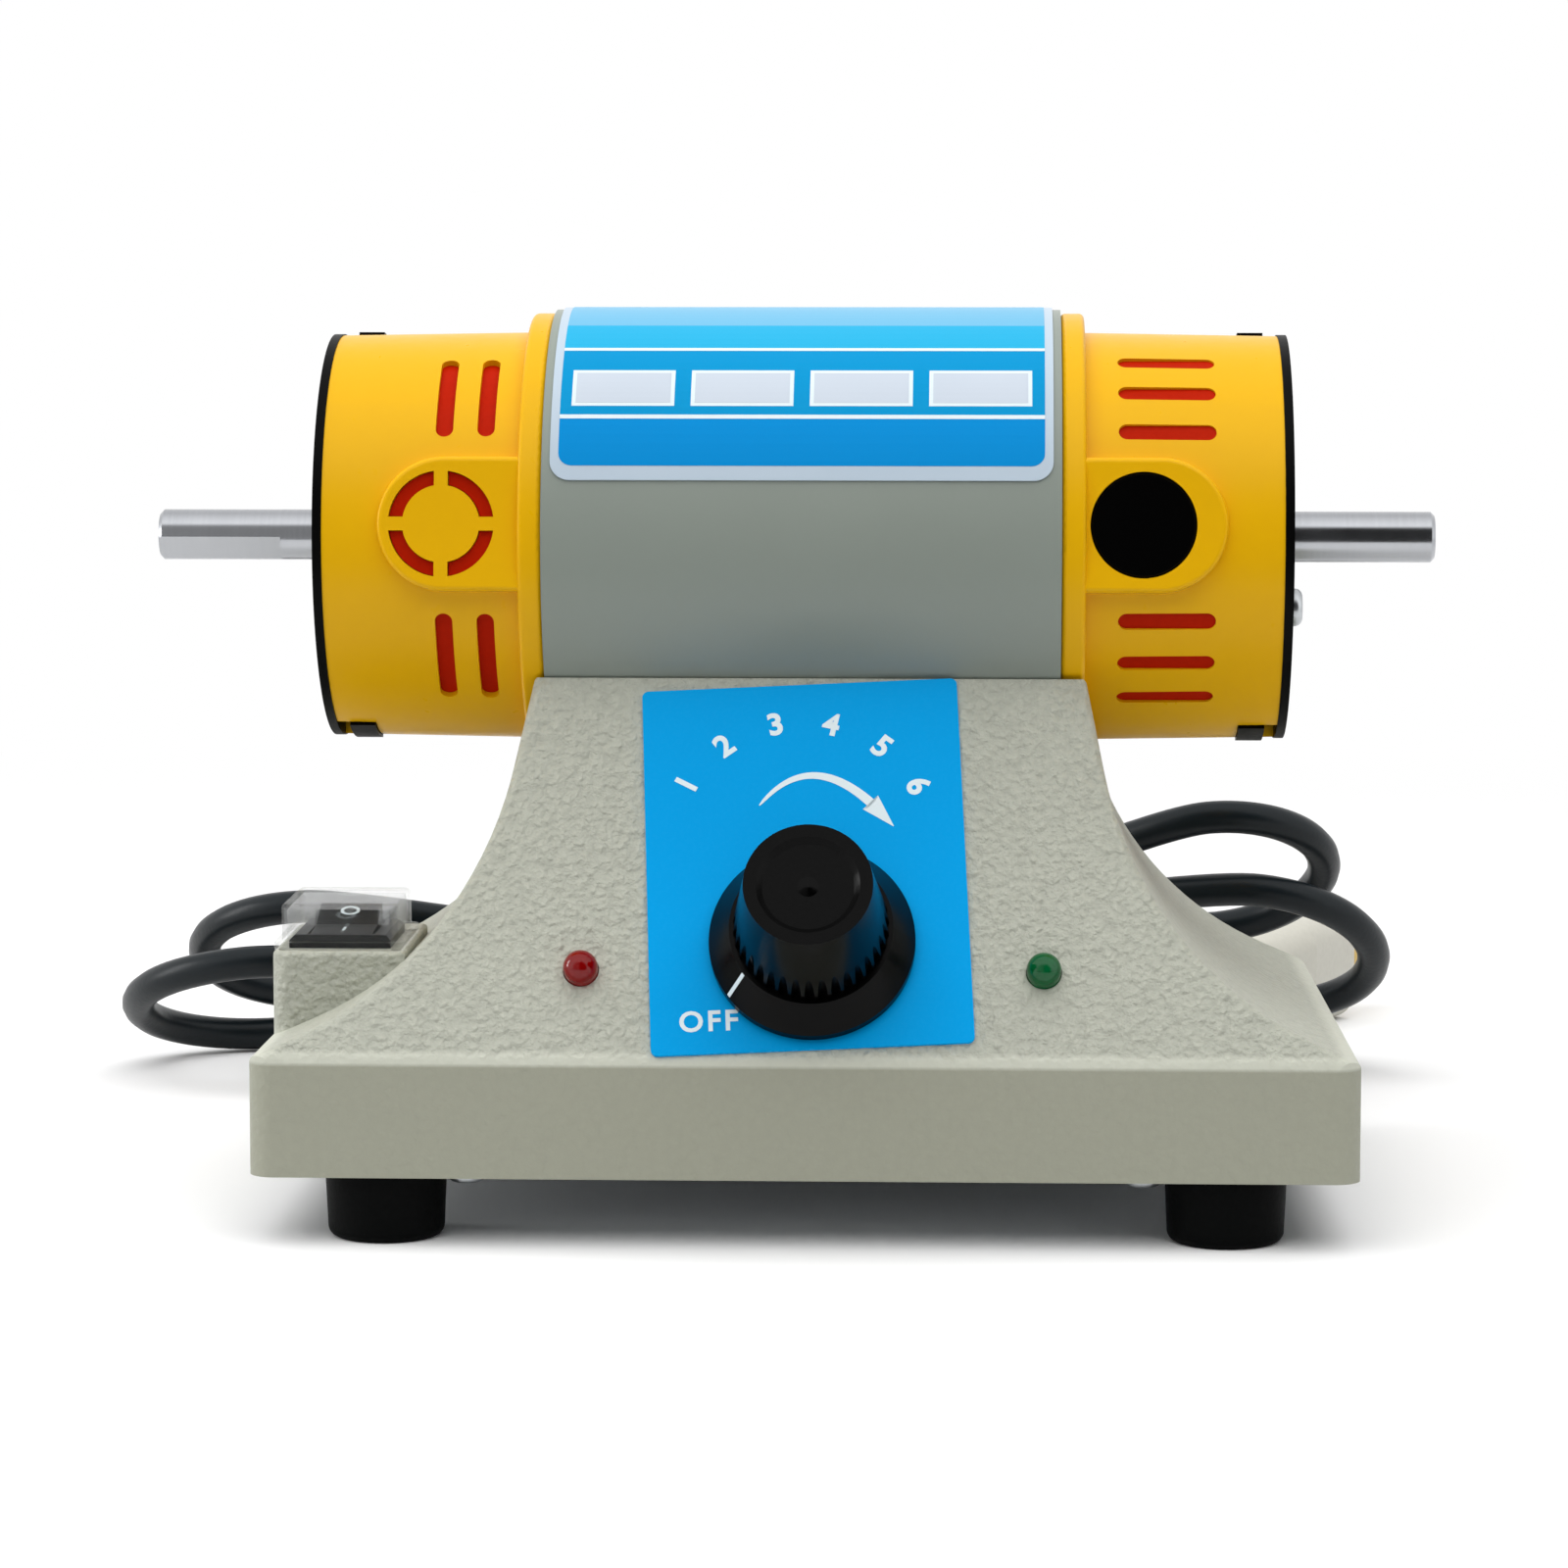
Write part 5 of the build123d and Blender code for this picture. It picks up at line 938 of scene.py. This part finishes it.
def make_pointer():
    """Inlaid white line down the knob's skirt, towards its OFF mark."""
    place = panel_matrix() @ Matrix.Translation((0.0, KNOB_UP, KNOB_LIFT))
    turn = math.radians(POINTER_ANGLE)
    outward = Vector((math.cos(turn), math.sin(turn), 0.0))
    side = Vector((-outward.y, outward.x, 0.0))
    low, high = [outward * r + Vector((0.0, 0.0, h)) for r, h in (SKIRT_LOW, SKIRT_HIGH)]
    way = side.cross(high - low).normalized()
    rows = [(point + side * POINTER_HALF, point - side * POINTER_HALF)
            for point in (low.lerp(high, share) for share in POINTER_ENDS)]
    rows = [(place @ left, place @ right) for left, right in rows]
    way = (place.to_3x3() @ way).normalized()
    mesh = ribbon(rows, [way, way], POINTER_LIFT, POINTER_SINK)
    link_mesh("knob_pointer", mesh, white_ink, "knob")


# Lettering: the height of a capital as a share of the type size, half the print's thickness, its lift
CAPITAL_SHARE = 0.73
TEXT_HALF = 0.035
TEXT_LIFT = 0.02
TEXT_STEPS = 4


def lettering(text, height, weight, spacing=1.0):
    """Flat centred lettering as a closed thin mesh, with capitals that high and strokes fattened, in mm."""
    curve = bpy.data.curves.new("lettering", "FONT")
    curve.body = text
    curve.size = height / CAPITAL_SHARE * MM
    curve.extrude = TEXT_HALF * MM
    curve.offset = weight * MM
    curve.space_character = spacing
    curve.align_x = "CENTER"
    curve.align_y = "CENTER"
    curve.resolution_u = TEXT_STEPS
    return finished_mesh(bpy.data.objects.new("lettering", curve))


def place_lettering(name, mesh, place, body):
    """Puts lettering on a face whose frame is given in millimetres."""
    place = place.copy()
    place.translation *= MM
    mesh.transform(place)
    link_mesh(name, mesh, white_ink, body)


# Print round the knob: OFF at its stop, and numbers on an arc
OFF_AT = (-15.2, 6.3)
OFF_HEIGHT = 3.3
OFF_WEIGHT = 0.1
OFF_SPACING = 1.2
DIAL_AT = (-2.0, 35.6)
DIAL_R = 19.7
DIAL_FROM = 152.0
DIAL_TO = 28.0
DIAL_NUMBERS = 6
NUMBER_HEIGHT = 3.6
NUMBER_WEIGHT = 0.16


def on_plate(at, turn):
    """Frame on the control plate's face, turned in it."""
    spot = Matrix.Translation((*at, PLATE_FACE + TEXT_LIFT))
    return panel_matrix() @ spot @ Matrix.Rotation(math.radians(turn), 4, "Z")


def make_dial_print():
    """OFF at the knob's stop, and plain speed numbers on an arc above the arrow."""
    off = lettering("OFF", OFF_HEIGHT, OFF_WEIGHT, OFF_SPACING)
    place_lettering("dial_off", off, on_plate(OFF_AT, PLATE_SKEW), "machine")
    for number in range(DIAL_NUMBERS):
        angle = DIAL_FROM + (DIAL_TO - DIAL_FROM) * number / (DIAL_NUMBERS - 1)
        turn = math.radians(angle)
        at = (DIAL_AT[0] + DIAL_R * math.cos(turn), DIAL_AT[1] + DIAL_R * math.sin(turn))
        mesh = lettering(str(number + 1), NUMBER_HEIGHT, NUMBER_WEIGHT)
        place_lettering(f"dial_number_{number + 1}", mesh, on_plate(at, angle - 90.0), "machine")


# Marks on the rocker: name, sign, share of the half they stand on, height
ROCKER_MARKS = (("rocker_mark_far", "O", 0.62, 2.9), ("rocker_mark_near", "I", -0.5, 2.4))
ROCKER_WEIGHT = 0.06


def make_rocker_marks():
    """Switch marks on the two halves of the rocker, which slope down to its middle."""
    tilted = Matrix.Translation(SWITCH_AT) @ Matrix.Rotation(math.radians(ROCKER_TILT), 4, "X")
    slope = math.atan2(ROCKER_RISE - ROCKER_DIP, ROCKER_HALF)
    for name, mark, share, height in ROCKER_MARKS:
        rise = ROCKER_DIP + (ROCKER_RISE - ROCKER_DIP) * abs(share)
        spot = Matrix.Translation((0.0, ROCKER_HALF * share, rise + TEXT_LIFT))
        face = Matrix.Rotation(math.copysign(slope, share), 4, "X")
        place_lettering(name, lettering(mark, height, ROCKER_WEIGHT), tilted @ spot @ face, "rocker")


make_label_print()
plate_row = wrapped_row_tree()
make_fields(plate_row)
make_lining(plate_row)
make_arrow()
make_pointer()
make_dial_print()
make_rocker_marks()


# Studio, in metres

ROOM_LIGHT = 0.2

# What mirrors show: a dark front, darker to the right, and above it the white room, brightest where it
# begins. Each pair of ways is a stretch of the direction's X or Y, with the levels at its two ends.
FRONT_WAYS_Y = (-0.76, -0.56)
FRONT_WAYS_X = (-0.16, 0.04)
FRONT_LEVELS = (0.5, 0.02)
ROOM_WAYS_Y = (-0.56, 0.4)
ROOM_LEVELS = (1.7, 1.0)


def make_world():
    """White surround for the eye and for glass, an even light on the object, and a studio for mirrors."""
    world = bpy.data.worlds.new("studio")
    bpy.context.scene.world = world
    world.use_nodes = True
    tree = world.node_tree
    tree.nodes.clear()
    seen = add(tree, "ShaderNodeLightPath")
    white = add(tree, "ShaderNodeMath", {"operation": "MAXIMUM"},
                {0: seen.outputs["Is Camera Ray"], 1: seen.outputs["Is Transmission Ray"]})
    level = add(tree, "ShaderNodeMapRange",
                inputs={"Value": white.outputs[0], "To Min": ROOM_LIGHT, "To Max": 1.0})
    place = add(tree, "ShaderNodeTexCoord")
    way = add(tree, "ShaderNodeSeparateXYZ", inputs={"Vector": place.outputs["Generated"]})
    dark = add(tree, "ShaderNodeMapRange", {"interpolation_type": "SMOOTHSTEP"},
               {"Value": way.outputs["X"], "From Min": FRONT_WAYS_X[0], "From Max": FRONT_WAYS_X[1],
                "To Min": FRONT_LEVELS[0], "To Max": FRONT_LEVELS[1]})
    bright = add(tree, "ShaderNodeMapRange",
                 inputs={"Value": way.outputs["Y"], "From Min": ROOM_WAYS_Y[0], "From Max": ROOM_WAYS_Y[1],
                         "To Min": ROOM_LEVELS[0], "To Max": ROOM_LEVELS[1]})
    room = add(tree, "ShaderNodeMapRange", {"interpolation_type": "SMOOTHSTEP"},
               {"Value": way.outputs["Y"], "From Min": FRONT_WAYS_Y[0], "From Max": FRONT_WAYS_Y[1],
                "To Min": dark.outputs[0], "To Max": bright.outputs[0]})
    strength = add(tree, "ShaderNodeMix", {"data_type": "FLOAT"},
                   {0: seen.outputs["Is Glossy Ray"], 2: level.outputs[0], 3: room.outputs[0]})
    light = add(tree, "ShaderNodeBackground",
                inputs={"Color": linear("#ffffff"), "Strength": strength.outputs[0]})
    add(tree, "ShaderNodeOutputWorld", inputs={"Surface": light.outputs[0]})


# Soft boxes: name, place, width and height, power in watts, and whether mirrors show it
LIGHTS = (
    ("top_box", (0.0, -0.3, 1.3), (2.4, 2.4), 38.0, False),
    ("front_box", (-0.3, -1.6, 0.8), (1.2, 1.2), 0.6, False),
    ("left_strip", (-0.9, 0.05, 0.3), (0.16, 0.5), 2.4, True),
)
LIGHT_AIM = (0.0, 0.0, 0.07)


def make_light(name, at, size, power, mirrored):
    """Soft box that faces the machine."""
    light = bpy.data.objects.new(name, bpy.data.lights.new(name, "AREA"))
    light.data.shape = "RECTANGLE"
    light.data.size, light.data.size_y = size
    light.data.energy = power
    light.location = at
    light.rotation_euler = (Vector(LIGHT_AIM) - Vector(at)).to_track_quat("-Z", "Y").to_euler()
    light.visible_glossy = mirrored
    bpy.context.collection.objects.link(light)


FLOOR_FRONT = -0.26
FLOOR_BACK = 2.5
FLOOR_HALF = 1.5
FLOOR_GRAIN = 60.0
WHITE_FROM = 0.30
WHITE_TO = 0.70


def make_floor():
    """White table top with its front edge under the camera, which goes over into the white surround
    further off."""
    # Board under matt white paint: even and dull, hardly clouded, and a little greyer in the light it throws
    material, tree, surface, place = new_material("painted_board_white", Roughness=0.9,
                                                  Specular_IOR_Level=0.1)
    grain = add(tree, "ShaderNodeTexNoise", inputs={"Vector": place, "Scale": per_mm(FLOOR_GRAIN)})
    tint = add(tree, "ShaderNodeMix", {"data_type": "RGBA"},
               {0: grain.outputs["Fac"], 6: linear("#f8f8f8"), 7: linear("#fcfcfc")})
    seen = add(tree, "ShaderNodeLightPath")
    thrown = add(tree, "ShaderNodeMix", {"data_type": "RGBA"},
                 {0: seen.outputs["Is Diffuse Ray"], 6: tint.outputs[2], 7: linear("#eeeeee")})
    connect(tree, surface, thrown.outputs[2])
    shiny = add(tree, "ShaderNodeMath", {"operation": "MAXIMUM"},
                {0: seen.outputs["Is Glossy Ray"], 1: seen.outputs["Is Transmission Ray"]})
    eye = add(tree, "ShaderNodeMath", {"operation": "MAXIMUM"},
              {0: seen.outputs["Is Camera Ray"], 1: shiny.outputs[0]})
    away = add(tree, "ShaderNodeVectorMath", {"operation": "LENGTH"}, {0: place})
    fade = add(tree, "ShaderNodeMapRange", {"interpolation_type": "SMOOTHSTEP"},
               {"Value": away.outputs["Value"], "From Min": WHITE_FROM, "From Max": WHITE_TO})
    share = add(tree, "ShaderNodeMath", {"operation": "MULTIPLY"}, {0: eye.outputs[0], 1: fade.outputs[0]})
    plain = add(tree, "ShaderNodeEmission", inputs={"Color": linear("#ffffff"), "Strength": 1.0})
    mixed = add(tree, "ShaderNodeMixShader",
                inputs={0: share.outputs[0], 1: surface.outputs["BSDF"], 2: plain.outputs[0]})
    output = next(node for node in tree.nodes if node.bl_idname == "ShaderNodeOutputMaterial")
    tree.links.new(mixed.outputs[0], output.inputs["Surface"])
    mesh = bpy.data.meshes.new("floor")
    corners = [(-FLOOR_HALF, FLOOR_FRONT, 0.0), (FLOOR_HALF, FLOOR_FRONT, 0.0),
               (FLOOR_HALF, FLOOR_BACK, 0.0), (-FLOOR_HALF, FLOOR_BACK, 0.0)]
    mesh.from_pydata(corners, [], [(0, 1, 2, 3)])
    mesh.materials.append(material)
    floor = bpy.data.objects.new("floor", mesh)
    bpy.context.collection.objects.link(floor)


make_world()
for soft_box in LIGHTS:
    make_light(*soft_box)
make_floor()
bpy.context.scene.view_settings.view_transform = "Standard"

bpy.context.view_layer.update()
